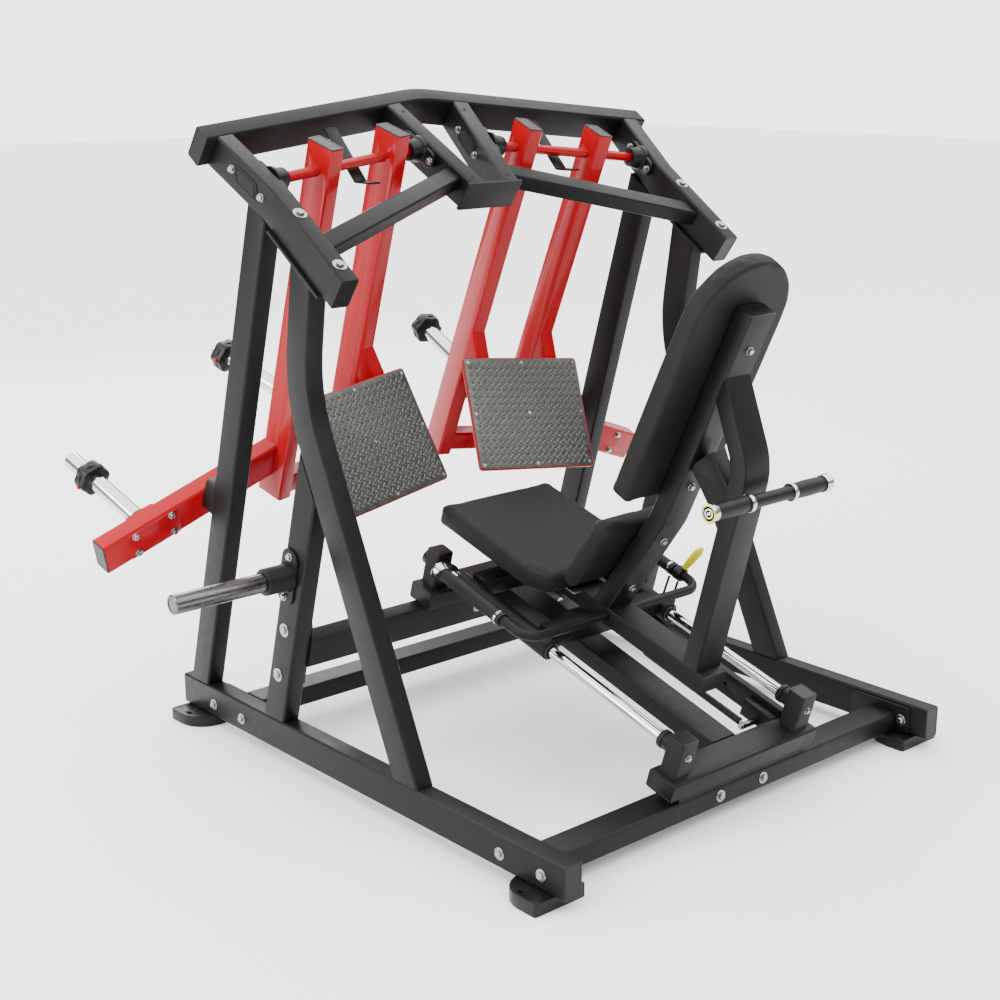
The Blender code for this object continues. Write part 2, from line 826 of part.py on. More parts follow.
def cross_member(along):
    turned = Axes(TRACK.origin, track_along, X, track_up)
    return block(turned, (along[0], -0.221, 0.045), (along[1], 0.221, BEAM_UP[0] + 0.004), 0.004)


def carriage_frame():
    """Two rod housings, two cross members and the beam that carries the seat and its post."""
    beam = block(TRACK, (-0.048, SEAT_BEAM[0], BEAM_UP[0]), (0.048, SEAT_BEAM[1], BEAM_UP[1]))
    pieces = [cross_member(REAR_MEMBER), cross_member(FRONT_MEMBER)]
    pieces.append(block(TRACK, (-0.110, 0.730, BEAM_UP[1] - 0.010), (0.110, 0.940, SEAT_PLATE_TOP)))
    bores = []
    for side in (-1, 1):
        pieces.append(guide(side, *HOUSING, HOUSING_RADIUS))
        bores.append(guide(side, HOUSING[0] - 0.01, HOUSING[1] + 0.01, ROD_RADIUS + RUNNING))
    hanger = block(TRACK, (BARREL[0], PIN_ALONG - 0.022, -0.040), (BARREL[1], PIN_ALONG + 0.022, 0.075))
    pieces.append(hanger)
    spring_lug = block(TRACK, (GAS_X - 0.016, 0.901, GAS_UP - 0.016), (GAS_X + 0.016, 0.938, 0.060))
    pieces.append(spring_lug)
    bores.append(pin_cylinder(BARREL[0] - 0.01, BARREL[1] + 0.01, PIN_RADIUS + RUNNING))
    bores.append(gas(0.88, 0.925, GAS_ROD_RADIUS + GAP))
    return carved(joined(beam, *pieces), *bores)


def pin_cylinder(low, high, radius, sides=SMALL_ROUND):
    return cylinder(TRACK.at(low, PIN_ALONG, LOCK_UP), TRACK.at(high, PIN_ALONG, LOCK_UP), radius, sides)


def lock_pin():
    """The pin that drops into a hole of the rack, with its pull knob."""
    return joined(
        pin_cylinder(LOCK_BAR[0] - 0.004, 0.345, PIN_RADIUS),
        pin_cylinder(0.330, 0.350, 0.012),
    )


POST_WIDTH = 0.100
POST_DEPTH = 0.058
STRUT_DEPTH = 0.058
beam_top_cut = plane(TRACK.at(0, 0, BEAM_UP[1] + GAP), track_up)


def post_path():
    """The post's middle line: 35 degrees back over the seat, then 25."""
    bend = point(0, 0.3955, 0.7705)
    base = bend - 0.45 * leaning(LUMBAR_LEAN)
    top = bend + 0.662 * leaning(BACK_LEAN)
    return rounded([base, bend, top], [0, 0.12, 0])


def strut_path():
    bend = point(0, 0.107, 0.964)
    foot_end = bend + 0.7 * unit(point(0, 0.2302 - 0.0757, 0.3668 - 0.961))
    top = bend + 0.32 * unit(point(0, 0.1629 - 0.0757, 1.188 - 0.961))
    return rounded([foot_end, bend, top], [0, 0.16, 0])


def post_back_face():
    bend = point(0, 0.3955, 0.7705)
    back = -np.cross(leaning(BACK_LEAN), X)
    back = back if back[1] < 0 else -back
    return plane(bend + back * POST_DEPTH / 2, -back)


def seat_back_frame():
    """The post behind the user, the curved strut that props it and the tie between them."""
    post = sweep(rectangle(POST_WIDTH, POST_DEPTH), post_path(), X, beam_top_cut)
    into_post = moved_plane(post_back_face(), 0.004)
    strut = sweep(rectangle(POST_WIDTH - 0.001, STRUT_DEPTH), strut_path(), X, beam_top_cut, into_post)
    tie_start = point(0, 0.262, 0.960)
    tie_end = point(0, 0.154, 0.809)
    tie = bar(rectangle(0.060, 0.090), tie_start, tie_end, X)
    return joined(post, strut, tie)


def seat_cushion():
    half = 0.225
    outline = rounded(
        [
            (-0.182, 0.672),
            (0.182, 0.672),
            (half, 0.740),
            (half, 1.148),
            (-half, 1.148),
            (-half, 0.740),
        ],
        [0.030, 0.030, 0.050, 0.024, 0.024, 0.050],
        steps=4,
        closed=True,
    )
    return pad(TRACK, outline, SEAT_PLATE_TOP + GAP, 0.2286)


LUMBAR_THICKNESS = 0.062
BACK_THICKNESS = 0.063
PAD_HALF = 0.183


def lumbar_pad():
    up = leaning(LUMBAR_LEAN)
    out = point(0, math.cos(LUMBAR_LEAN), math.sin(LUMBAR_LEAN))
    base = point(0, 0.6066, 0.5325) + GAP * out
    face = Axes(base, X, up, out)
    outline = rounded(
        [(-0.180, 0.012), (0.180, 0.012), (0.180, 0.262), (-0.180, 0.262)],
        [0.012, 0.012, 0.030, 0.030],
        steps=4,
        closed=True,
    )
    return pad(face, outline, 0.002, LUMBAR_THICKNESS)


def backrest_pad():
    up = leaning(BACK_LEAN)
    out = point(0, math.cos(BACK_LEAN), math.sin(BACK_LEAN))
    front_of_post = point(0, 0.3955, 0.7705) + out * (POST_DEPTH / 2 + GAP)
    face = Axes(front_of_post, X, up, out)
    bottom = 0.052
    crown = 0.790
    outline = rounded(
        [(-PAD_HALF, bottom), (PAD_HALF, bottom), (PAD_HALF, crown), (-PAD_HALF, crown)],
        [0.030, 0.030, PAD_HALF * 0.98, PAD_HALF * 0.98],
        steps=8,
        closed=True,
    )
    return pad(face, outline, 0, BACK_THICKNESS)


def handlebar():
    """The bar across the back of the strut, with a grip and an end cap at each end."""
    y = 0.0460
    z = 0.895
    pieces = []
    for side in (-1, 1):
        pieces.append(cylinder(point(side * 0.075, y, z), point(side * 0.216, y, z), 0.019))
        pieces.append(cylinder(point(side * 0.210, y, z), point(side * 0.236, y, z), 0.022))
    return joined(cylinder(point(-0.2, y, z), point(0.2, y, z), 0.0145), *pieces)


def side_handle():
    """A grip beside the seat, bent out of the carriage beam."""
    root = TRACK.at(0.048 + GAP, HANDLE_ALONG, HANDLE_UP)
    bend = TRACK.at(HANDLE_X, HANDLE_ALONG, HANDLE_UP)
    tip = TRACK.at(HANDLE_X, 0.962, HANDLE_UP)
    path = rounded([root, bend, tip], [0, 0.055, 0], steps=8)
    tube = sweep(circle(HANDLE_RADIUS, SMALL_ROUND * 2), path, track_up)
    grip = cylinder(TRACK.at(HANDLE_X, 0.690, HANDLE_UP), tip - 0.012 * track_along, 0.018)
    ring = cylinder(TRACK.at(HANDLE_X, 0.680, HANDLE_UP), TRACK.at(HANDLE_X, 0.692, HANDLE_UP), 0.0195)
    return joined(tube, grip, ring, cylinder(tip - 0.025 * track_along, tip + 0.001 * track_along, 0.022))


LEVER_ALONG = (0.634, 0.662)


def lever_pivot():
    return TRACK.at(HANDLE_X, sum(LEVER_ALONG) / 2, HANDLE_UP)


def release_lever():
    """A collar that turns on the right handle, with the lever that frees the seat."""
    pivot = lever_pivot()
    half = (LEVER_ALONG[1] - LEVER_ALONG[0]) / 2 * track_along
    collar = cylinder(pivot - half, pivot + half, 0.0225)
    bore = cylinder(pivot - 2 * half, pivot + 2 * half, HANDLE_RADIUS + RUNNING)
    up = unit(TRACK.at(HANDLE_X, 0.588, 0.262) - pivot)
    lever = bar(rectangle(0.022, 0.012, 0.003), pivot + 0.018 * up, pivot + 0.140 * up, X)
    return carved(joined(collar, lever), bore)


# ---- The machine -----------------------------------------------------------------------


def clear_scene():
    for obj in list(bpy.data.objects):
        bpy.data.objects.remove(obj)


def add_frame():
    black = "black_paint"
    add_pair("base_rail", base_rail(), black)
    add_pair("rear_upright", rear_upright(), black)
    add_pair("side_brace", side_brace(), black)
    add_pair("front_leg", front_leg(), black)
    add("seat_end_crossbar", crossbar(0.099, 0.195, 0.038, 0.095), black)
    add("low_crossbar", crossbar(1.360, 1.452, 0.0735, RAIL_TOP), black)
    raised = Axes(TRACK.origin, track_along, X, track_up)
    reach = INNER_X - GAP
    add("raised_crossbar", block(raised, (1.040, -reach, -0.157), (1.094, reach, -0.0568), TUBE_CORNER), black)
    add("top_bar", top_bar(), black)
    add_pair("side_beam", side_beam(), black)
    add("centre_frame", centre_frame(), black)
    add_pair("front_bar", front_bar(), black)
    add_pair("storage_horn", storage_horn(), "satin_steel")
    add_pair("seat_end_foot", foot(0.036, 1), "black_rubber")
    add_pair("far_end_foot", foot(1.700, -1), "black_rubber")
    add_pair("outer_bearing", shaft_bearing(1, side_beam_inner_face()), "black_plastic")
    add_pair("inner_bearing", shaft_bearing(-1, centre_beam_side()), "black_plastic")
    add_pair("bumper", bumper(), "black_rubber")


def add_track():
    add("track_rear_beam", track_rear_beam(), "black_paint")
    add("track_front_beam", track_front_beam(), "black_paint")
    add("track_centre_rail", between_beams(-0.0475, 0.0475, -TRACK_BEAM_DEPTH, 0, 0.003), "black_paint")
    add("lock_rack", lock_rack(), "black_paint")
    add_pair("guide_rod", guide_rod(), "chrome")
    add("gas_cylinder", gas_cylinder(), "black_plastic")


def add_arms():
    pivot = ARM.origin
    add_pair("press_arm", press_arm(), "red_paint", pivot)
    add_pair("foot_plate", foot_plate(), "tread_sheet", pivot)
    lower = lower_sleeve_base()
    upper = upper_sleeve_base()
    add_pair("lower_sleeve", sleeve(lower, weight_far, LOWER_SLEEVE_LENGTH), "chrome", pivot)
    add_pair("upper_sleeve", sleeve(upper, arm_far, UPPER_SLEEVE_LENGTH), "chrome", pivot)
    add_pair("lower_collar", spring_collar(lower, weight_far, 0.240), "black_plastic", lower)
    add_pair("upper_collar", spring_collar(upper, arm_far, 0.375), "black_plastic", upper)


def add_carriage():
    pivot = TRACK.origin
    add("carriage_frame", carriage_frame(), "black_paint", pivot)
    add("seat_back_frame", seat_back_frame(), "black_paint", pivot)
    add("seat_cushion", seat_cushion(), "leatherette", pivot)
    add("lumbar_pad", lumbar_pad(), "leatherette", pivot)
    add("backrest_pad", backrest_pad(), "leatherette", pivot)
    add("handlebar", handlebar(), "black_rubber", pivot)
    add_pair("side_handle", side_handle(), "black_rubber", pivot)
    add("gas_rod", gas(0.530, 0.924, GAS_ROD_RADIUS), "chrome", pivot)
    add("release_lever", release_lever(), "yellow_plastic", lever_pivot())
    add("lock_pin", lock_pin(), "satin_steel", TRACK.at(LOCK_BAR[1], PIN_ALONG, LOCK_UP))


def centre_on_floor():
    """Moves everything along Y, so that the origin is under the middle of the bounding box."""
    bpy.context.view_layer.update()
    ends = []
    for obj in bpy.data.objects:
        heights = [(obj.matrix_world @ vertex.co).y for vertex in obj.data.vertices]
        ends += [min(heights), max(heights)]
    middle = (min(ends) + max(ends)) / 2
    for obj in bpy.data.objects:
        obj.location.y -= middle


clear_scene()
add_frame()
add_track()
add_arms()
add_carriage()
centre_on_floor()
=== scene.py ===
"""The visible model of a plate-loaded leg press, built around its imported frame.

Lengths are metres. X points to the user's right, +Y from the seat to the foot plates, +Z up.
Each sub-assembly is a class with its sizes as fields; each finish is a small frozen class.
"""

from __future__ import annotations

import logging
import math
from dataclasses import dataclass
from enum import Enum
from typing import Optional, Sequence

import bmesh
import bpy
import numpy as np
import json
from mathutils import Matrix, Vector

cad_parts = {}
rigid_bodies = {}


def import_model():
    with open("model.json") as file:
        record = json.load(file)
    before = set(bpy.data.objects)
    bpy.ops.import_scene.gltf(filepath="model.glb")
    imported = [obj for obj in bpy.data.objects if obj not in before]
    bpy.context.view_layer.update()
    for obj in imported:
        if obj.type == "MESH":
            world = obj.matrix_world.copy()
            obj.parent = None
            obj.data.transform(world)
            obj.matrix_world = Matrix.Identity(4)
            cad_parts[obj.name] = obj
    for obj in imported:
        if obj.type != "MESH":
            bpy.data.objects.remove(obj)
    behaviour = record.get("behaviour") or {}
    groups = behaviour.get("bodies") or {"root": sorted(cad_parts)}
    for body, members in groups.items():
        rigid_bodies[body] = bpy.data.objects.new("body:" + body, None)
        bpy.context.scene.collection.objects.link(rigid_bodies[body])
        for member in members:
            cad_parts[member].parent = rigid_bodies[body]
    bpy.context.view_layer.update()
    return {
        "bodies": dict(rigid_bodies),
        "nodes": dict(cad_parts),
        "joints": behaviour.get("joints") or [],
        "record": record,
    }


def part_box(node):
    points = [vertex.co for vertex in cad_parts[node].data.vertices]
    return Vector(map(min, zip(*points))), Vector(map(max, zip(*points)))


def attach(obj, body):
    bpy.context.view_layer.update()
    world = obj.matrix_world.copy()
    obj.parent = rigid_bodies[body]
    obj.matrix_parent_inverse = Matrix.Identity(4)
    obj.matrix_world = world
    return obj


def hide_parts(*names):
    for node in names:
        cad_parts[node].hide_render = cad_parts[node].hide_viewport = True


LOG = logging.getLogger("leg_press")
Array = np.ndarray
Mesh = tuple[Array, list[list[int]]]

X = np.array([1.0, 0.0, 0.0])
Y = np.array([0.0, 1.0, 0.0])
Z = np.array([0.0, 0.0, 1.0])
MIRROR = np.array([-1.0, 1.0, 1.0])


class Side(Enum):
    """The two sides of the machine, by the sign of X."""

    LEFT = -1
    RIGHT = 1

    @property
    def label(self) -> str:
        """The side's name in lower case."""
        return self.name.lower()


def unit(vector: Array) -> Array:
    """The vector at length one."""
    return vector / np.linalg.norm(vector)


def leaning(angle: float) -> Array:
    """Up, tipped back towards the seat by an angle in radians."""
    return np.array([0.0, -math.sin(angle), math.cos(angle)])


@dataclass(frozen=True)
class Axes:
    """An origin with three directions at right angles."""

    origin: Array
    first: Array
    second: Array
    third: Array

    def at(self, a: float, b: float, c: float) -> Array:
        """The point a, b and c along the three directions."""
        return self.origin + a * self.first + b * self.second + c * self.third

    def place(self, local: Array) -> Array:
        """Local points (n, 3) as world points."""
        return self.origin + local @ np.stack([self.first, self.second, self.third])

    def moved(self, a: float, b: float, c: float) -> Axes:
        """The same directions from another origin."""
        return Axes(self.at(a, b, c), self.first, self.second, self.third)


def facing(origin: Array, normal: Array, hint: Array = X) -> Axes:
    """Axes whose third direction is a surface's outward normal.

    Args:
        origin: the point on the surface.
        normal: the way out of it.
        hint: a direction that the first axis lies near.

    Returns:
        Axes with the first direction along the hint, squared to the normal.
    """
    third = unit(normal)
    if abs(unit(hint) @ third) > 0.9:
        hint = Z
    first = unit(hint - (hint @ third) * third)
    return Axes(origin, first, np.cross(third, first), third)


# ---- Surfaces --------------------------------------------------------------------------


def circle(radius: float, sides: int = 48) -> Array:
    """Points of a circle: radius times the cosine and sine of evenly spaced turns."""
    turn = np.arange(sides) * 2 * np.pi / sides
    return radius * np.stack([np.cos(turn), np.sin(turn)], 1)


def rounded_box(width: float, depth: float, radius: float, steps: int = 4) -> Array:
    """A rectangle's outline with quarter circles for corners.

    Args:
        width: size along the first axis.
        depth: size along the second axis.
        radius: corner radius.
        steps: segments in each corner.

    Returns:
        Points (n, 2), anticlockwise: each corner's centre plus radius times a turning unit
        vector that sweeps a quarter turn.
    """
    turn = np.linspace(0, np.pi / 2, steps + 1)
    starts = np.arange(4)[:, None] * np.pi / 2
    angle = (starts + turn).ravel()
    signs = np.array([[1, 1], [-1, 1], [-1, -1], [1, -1]], float)
    centres = signs * (np.array([width, depth]) / 2 - radius)
    return np.repeat(centres, steps + 1, 0) + radius * np.stack([np.cos(angle), np.sin(angle)], 1)


def round_corners(corners: Sequence[Sequence[float]], radii: Sequence[float], steps: int = 6,
                  closed: bool = False) -> Array:
    """A path or outline with arcs for corners.

    Each corner becomes an arc that touches both of its sides: the centre lies on the corner's
    bisector, and the points are spherical blends of the two radii that meet the sides.

    Args:
        corners: the sharp path.
        radii: one radius for each corner; 0 keeps it sharp.
        steps: segments in each arc.
        closed: whether the last corner joins the first.

    Returns:
        The points of the path.
    """
    points = [np.asarray(c, float) for c in corners]
    path: list[Array] = []
    for i, (corner, radius) in enumerate(zip(points, radii)):
        if radius == 0 or (not closed and i in (0, len(points) - 1)):
            path.append(corner[None])
            continue
        back = unit(points[i - 1] - corner)
        on = unit(points[(i + 1) % len(points)] - corner)
        half = math.acos(float(np.clip(back @ on, -1, 1))) / 2
        centre = corner + unit(back + on) * radius / math.sin(half)
        first = corner + back * radius / math.tan(half) - centre
        last = corner + on * radius / math.tan(half) - centre
        whole = math.pi - 2 * half
        share = np.linspace(0, 1, steps + 1)[:, None]
        arc = np.sin((1 - share) * whole) * first + np.sin(share * whole) * last
        path.append(centre + arc / math.sin(whole))
    return np.concatenate(path)


def skin(rings: Array) -> Mesh:
    """A closed solid through rings of points (m, n, 3), with a flat face at each end."""
    m, n, _ = rings.shape
    j = np.arange(n)
    k = (j + 1) % n
    low = (np.arange(m - 1) * n)[:, None]
    quads = np.stack([low + j, low + k, low + n + k, low + n + j], -1).reshape(-1, 4)
    faces = quads.tolist()
    faces.append(j[::-1].tolist())
    faces.append(((m - 1) * n + j).tolist())
    return rings.reshape(-1, 3), faces


def lathe(axes: Axes, profile: Sequence[tuple[float, float]], sides: int = 48) -> Mesh:
    """A turned solid: the profile's (height, radius) points carried round the third axis.

    Point (i, j) is the origin plus height i along the third axis plus radius i in the
    direction at turn j.

    Args:
        axes: the third direction is the axis.
        profile: heights and radii, from one end to the other.
        sides: points round the axis.

    Returns:
        The mesh, with flat ends.
    """
    rows = np.asarray(profile, float)
    ring = circle(1.0, sides)
    flat = rows[:, 1, None, None] * ring[None]
    height = np.broadcast_to(rows[:, 0, None, None], (len(rows), sides, 1))
    local = np.concatenate([flat, height], -1)
    return skin(axes.place(local.reshape(-1, 3)).reshape(len(rows), sides, 3))


def sweep(section: Array, path: Array, across: Array) -> Mesh:
    """A section (n, 2) carried along a flat path (m, 3), mitred where the path turns.

    Each point is the path's point plus u times the across direction plus v times the
    direction square to it and to the path, stretched at a turn by one over the cosine of
    half of it.
    """
    steps = np.diff(path, axis=0)
    steps /= np.linalg.norm(steps, axis=1)[:, None]
    before = np.concatenate([steps[:1], steps])
    after = np.concatenate([steps, steps[-1:]])
    tangent = before + after
    tangent /= np.linalg.norm(tangent, axis=1)[:, None]
    depth = np.cross(tangent, across)
    depth /= np.linalg.norm(depth, axis=1)[:, None]
    stretch = 1 / (tangent * before).sum(1)
    rings = (path[:, None] + section[None, :, :1] * across
             + section[None, :, 1:] * (depth * stretch[:, None])[:, None])
    return skin(rings)


def inset(outline: Array, distance: Array) -> Array:
    """An outline (n, 2) moved inwards by each distance (m,), as rings (m, n, 2).

    The way in at a point is square to the line through its two neighbours.
    """
    tangent = np.roll(outline, -1, 0) - np.roll(outline, 1, 0)
    tangent /= np.linalg.norm(tangent, axis=1)[:, None]
    inwards = np.stack([-tangent[:, 1], tangent[:, 0]], 1)
    turning = np.cross(outline - outline.mean(0), np.roll(outline, -1, 0) - outline).sum()
    return outline[None] + np.sign(turning) * inwards[None] * distance[:, None, None]


def slab(axes: Axes, outline: Array, thickness: float, edge: float = 0.001,
         relief: Sequence[tuple[float, float]] = ()) -> Mesh:
    """A plate with rounded edges, standing on the first two axes.

    Its rings follow a quarter circle at each face's edge: the inset is edge times one minus
    the sine, the height edge times one minus the cosine of the turn.

    Args:
        axes: where the plate stands; it grows along the third direction.
        outline: its shape (n, 2).
        thickness: its height.
        edge: radius of the rounded edges.
        relief: further (inset, height above the top face) rings, towards the middle.

    Returns:
        The mesh.
    """
    turn = np.linspace(0, np.pi / 2, 4)
    ins = edge * (1 - np.sin(turn))
    up = edge * (1 - np.cos(turn))
    insets = list(ins) + list(ins[::-1]) + [edge + i for i, _ in relief]
    heights = list(up) + list(thickness - up[::-1]) + [thickness + h for _, h in relief]
    rings = inset(outline, np.array(insets))
    height = np.broadcast_to(np.array(heights)[:, None, None], rings.shape[:2] + (1,))
    local = np.concatenate([rings, height], -1)
    return skin(axes.place(local.reshape(-1, 3)).reshape(local.shape))


def together(*meshes: Mesh) -> Mesh:
    """Several meshes as one."""
    points = np.concatenate([m[0] for m in meshes])
    faces: list[list[int]] = []
    offset = 0
    for own_points, own_faces in meshes:
        faces += [[offset + i for i in face] for face in own_faces]
        offset += len(own_points)
    return points, faces


def mirrored(mesh: Mesh, side: Side) -> Mesh:
    """The mesh for its side: as it is on the right, turned over on the left."""
    if side is Side.RIGHT:
        return mesh
    points, faces = mesh
    return points * MIRROR, [face[::-1] for face in faces]


# ---- Finishes --------------------------------------------------------------------------


class Graph:
    """A material's node tree, with short calls to add and join nodes."""

    def __init__(self, name: str) -> None:
        """Starts a new material."""
        self.material = bpy.data.materials.new(name)
        self.material.use_nodes = True
        self.tree = self.material.node_tree
        self.shader = self.tree.nodes["Principled BSDF"]
        self.place = self.tree.nodes.new("ShaderNodeTexCoord").outputs["Object"]

    def add(self, kind: str, inputs: dict[str, object], **settings: object) -> bpy.types.Node:
        """A node with its inputs set or linked, and its settings."""
        node = self.tree.nodes.new(kind)
        for key, value in settings.items():
            setattr(node, key, value)
        for key, value in inputs.items():
            self.feed(node.inputs[key], value)
        return node

    def feed(self, socket: bpy.types.NodeSocket, value: object) -> None:
        """Links an output to a socket, or sets the socket's value."""
        if isinstance(value, bpy.types.NodeSocket):
            self.tree.links.new(value, socket)
        else:
            socket.default_value = value

    def noise(self, scale: float, detail: float = 3.0, where: object = None) -> object:
        """A noise field of so many features a metre, 0 to 1."""
        node = self.add("ShaderNodeTexNoise", {"Scale": scale, "Detail": detail})
        self.feed(node.inputs["Vector"], where or self.place)
        return node.outputs["Fac"]

    def spread(self, value: object, low: float, high: float, start: float = 0.3,
               end: float = 0.7) -> object:
        """A field's middle range, stretched from low to high."""
        node = self.add("ShaderNodeMapRange", {"Value": value, "From Min": start,
                                               "From Max": end, "To Min": low, "To Max": high})
        return node.outputs["Result"]

    def blend(self, factor: object, first: Sequence[float], second: Sequence[float]) -> object:
        """A colour between two, by a factor."""
        node = self.add("ShaderNodeMix", {}, data_type="RGBA")
        self.feed(node.inputs["Factor"], factor)
        self.feed(node.inputs["A"], (*first, 1.0))
        self.feed(node.inputs["B"], (*second, 1.0))
        return node.outputs["Result"]

    def bump(self, height: object, strength: float, distance: float,
             under: object = None) -> object:
        """A surface normal that follows a height field, over an earlier one."""
        node = self.add("ShaderNodeBump", {"Height": height, "Strength": strength,
                                           "Distance": distance})
        if under is not None:
            self.feed(node.inputs["Normal"], under)
        return node.outputs["Normal"]

    def surface(self, **inputs: object) -> bpy.types.Material:
        """Sets the shader's inputs, spaces written as underscores, and returns the material."""
        for key, value in inputs.items():
            self.feed(self.shader.inputs[key.replace("_", " ")], value)
        return self.material


@dataclass(frozen=True)
class Finish:
    """A finish: its name, the record's slot, and its two nearest colours."""

    name: str
    slot: str
    colour: tuple[float, float, float]
    other: tuple[float, float, float]
    roughness: float = 0.5

    def material(self) -> bpy.types.Material:
        """The material, made once."""
        return bpy.data.materials.get(self.name) or self.build(Graph(self.name))

    def build(self, graph: Graph) -> bpy.types.Material:
        """Two colours in soft patches, with a little unevenness in the gloss."""
        patches = graph.noise(14.0)
        rough = graph.spread(graph.noise(60.0), self.roughness - 0.04, self.roughness + 0.05)
        return graph.surface(Base_Color=graph.blend(patches, self.colour, self.other),
                             Roughness=rough)


@dataclass(frozen=True)
class PowderCoat(Finish):
    """Baked powder paint: a fine pebbled skin with a satin sheen."""

    grain: float = 1500.0

    def build(self, graph: Graph) -> bpy.types.Material:
        """Fine pebbles over a slow orange-peel swell."""
        pebbles = graph.noise(self.grain, 2.0)
        swell = graph.noise(120.0, 1.0)
        normal = graph.bump(pebbles, 0.35, 0.00025, graph.bump(swell, 0.12, 0.0006))
        rough = graph.spread(graph.noise(35.0), self.roughness - 0.03, self.roughness + 0.04)
        colour = graph.blend(graph.spread(pebbles, 0, 1), self.colour, self.other)
        return graph.surface(Base_Color=colour, Roughness=rough, Normal=normal,
                             Specular_IOR_Level=0.16)


@dataclass(frozen=True)
class GlossPaint(Finish):
    """Wet-looking paint under clear lacquer, with a faint orange peel."""

    def build(self, graph: Graph) -> bpy.types.Material:
        """A smooth swell under a clear coat."""
        peel = graph.bump(graph.noise(90.0, 1.0), 0.05, 0.0005)
        colour = graph.blend(graph.noise(9.0), self.colour, self.other)
        rough = graph.spread(graph.noise(50.0), self.roughness - 0.03, self.roughness + 0.05)
        return graph.surface(Base_Color=colour, Roughness=rough, Normal=peel, Coat_Weight=0.10,
                             Coat_Roughness=0.05, Specular_IOR_Level=0.15)


@dataclass(frozen=True)
class Metal(Finish):
    """Bare or plated metal with fine draw lines."""

    lines: float = 0.1

    def build(self, graph: Graph) -> bpy.types.Material:
        """Fine scratches as a little bump, and a slow change in gloss."""
        scratch = graph.noise(2200.0, 2.0)
        normal = graph.bump(scratch, self.lines, 0.0001)
        rough = graph.spread(graph.noise(45.0), self.roughness * 0.75, self.roughness * 1.3)
        colour = graph.blend(graph.noise(20.0), self.colour, self.other)
        return graph.surface(Base_Color=colour, Roughness=rough, Normal=normal, Metallic=1.0)


@dataclass(frozen=True)
class Leatherette(Finish):
    """Coated upholstery cloth: small pressed cells and a soft bloom."""

    def build(self, graph: Graph) -> bpy.types.Material:
        """Cell borders sunk between small pillows, over fine pores."""
        cells = graph.add("ShaderNodeTexVoronoi", {"Scale": 620.0, "Vector": graph.place},
                          feature="DISTANCE_TO_EDGE").outputs["Distance"]
        pillows = graph.spread(cells, 0.0, 1.0, 0.0, 0.25)
        creases = graph.noise(55.0, 4.0)
        normal = graph.bump(pillows, 0.35, 0.00035, graph.bump(creases, 0.10, 0.0015))
        colour = graph.blend(graph.spread(graph.noise(18.0), 0, 1), self.colour, self.other)
        rough = graph.spread(pillows, self.roughness + 0.10, self.roughness, 0.0, 1.0)
        return graph.surface(Base_Color=colour, Roughness=rough, Normal=normal,
                             Specular_IOR_Level=0.16)


@dataclass(frozen=True)
class Rubber(Finish):
    """Moulded rubber or hard plastic with a fine spark-eroded grain."""

    grain: float = 900.0

    def build(self, graph: Graph) -> bpy.types.Material:
        """An even, very fine grain."""
        normal = graph.bump(graph.noise(self.grain, 2.0), 0.25, 0.0002)
        rough = graph.spread(graph.noise(40.0), self.roughness - 0.05, self.roughness + 0.05)
        colour = graph.blend(graph.noise(25.0), self.colour, self.other)
        return graph.surface(Base_Color=colour, Roughness=rough, Normal=normal,
                             Specular_IOR_Level=0.22)


BLACK = PowderCoat("black_powder_coat", "black_paint", (0.0040, 0.0040, 0.0042),
                   (0.0058, 0.0058, 0.0061), 0.42)
RED = GlossPaint("red_gloss_paint", "red_paint", (0.33, 0.0003, 0.0050), (0.30, 0.0003, 0.0042),
                 0.22)
CHROME = Metal("polished_chrome", "chrome", (0.60, 0.60, 0.61), (0.54, 0.54, 0.55), 0.10, 0.02)
STEEL = Metal("brushed_bar_steel", "satin_steel", (0.150, 0.148, 0.144), (0.115, 0.113, 0.110),
              0.26, 0.15)
ZINC = Metal("zinc_plate", "satin_steel", (0.34, 0.34, 0.34), (0.28, 0.28, 0.28), 0.24, 0.08)
TREAD = Metal("grey_tread_sheet", "tread_sheet", (0.105, 0.108, 0.100), (0.088, 0.089, 0.081),
              0.40, 0.2)
HIDE = Leatherette("dark_leatherette", "leatherette", (0.0054, 0.0047, 0.0045),
                   (0.0072, 0.0063, 0.0060), 0.52)
PLASTIC = Rubber("black_moulded_plastic", "black_plastic", (0.0032, 0.0032, 0.0034),
                 (0.0046, 0.0046, 0.0048), 0.38)
GRIP = Rubber("black_foam_rubber", "black_rubber", (0.0030, 0.0030, 0.0030),
              (0.0042, 0.0042, 0.0042), 0.50, 600.0)
YELLOW = Rubber("yellow_moulded_plastic", "yellow_plastic", (0.60, 0.58, 0.008),
                (0.54, 0.52, 0.008), 0.32, 300.0)


# ---- Making pieces ---------------------------------------------------------------------


class Body(Enum):
    """The bodies that a piece can ride on."""

    FRAME = "machine_frame"
    CARRIAGE = "seat_carriage"
    LEVER = "seat_release"
    PIN = "seat_lock"


def arm_body(side: Side) -> str:
    """The body of one press arm."""
    return f"{side.label}_press_arm"


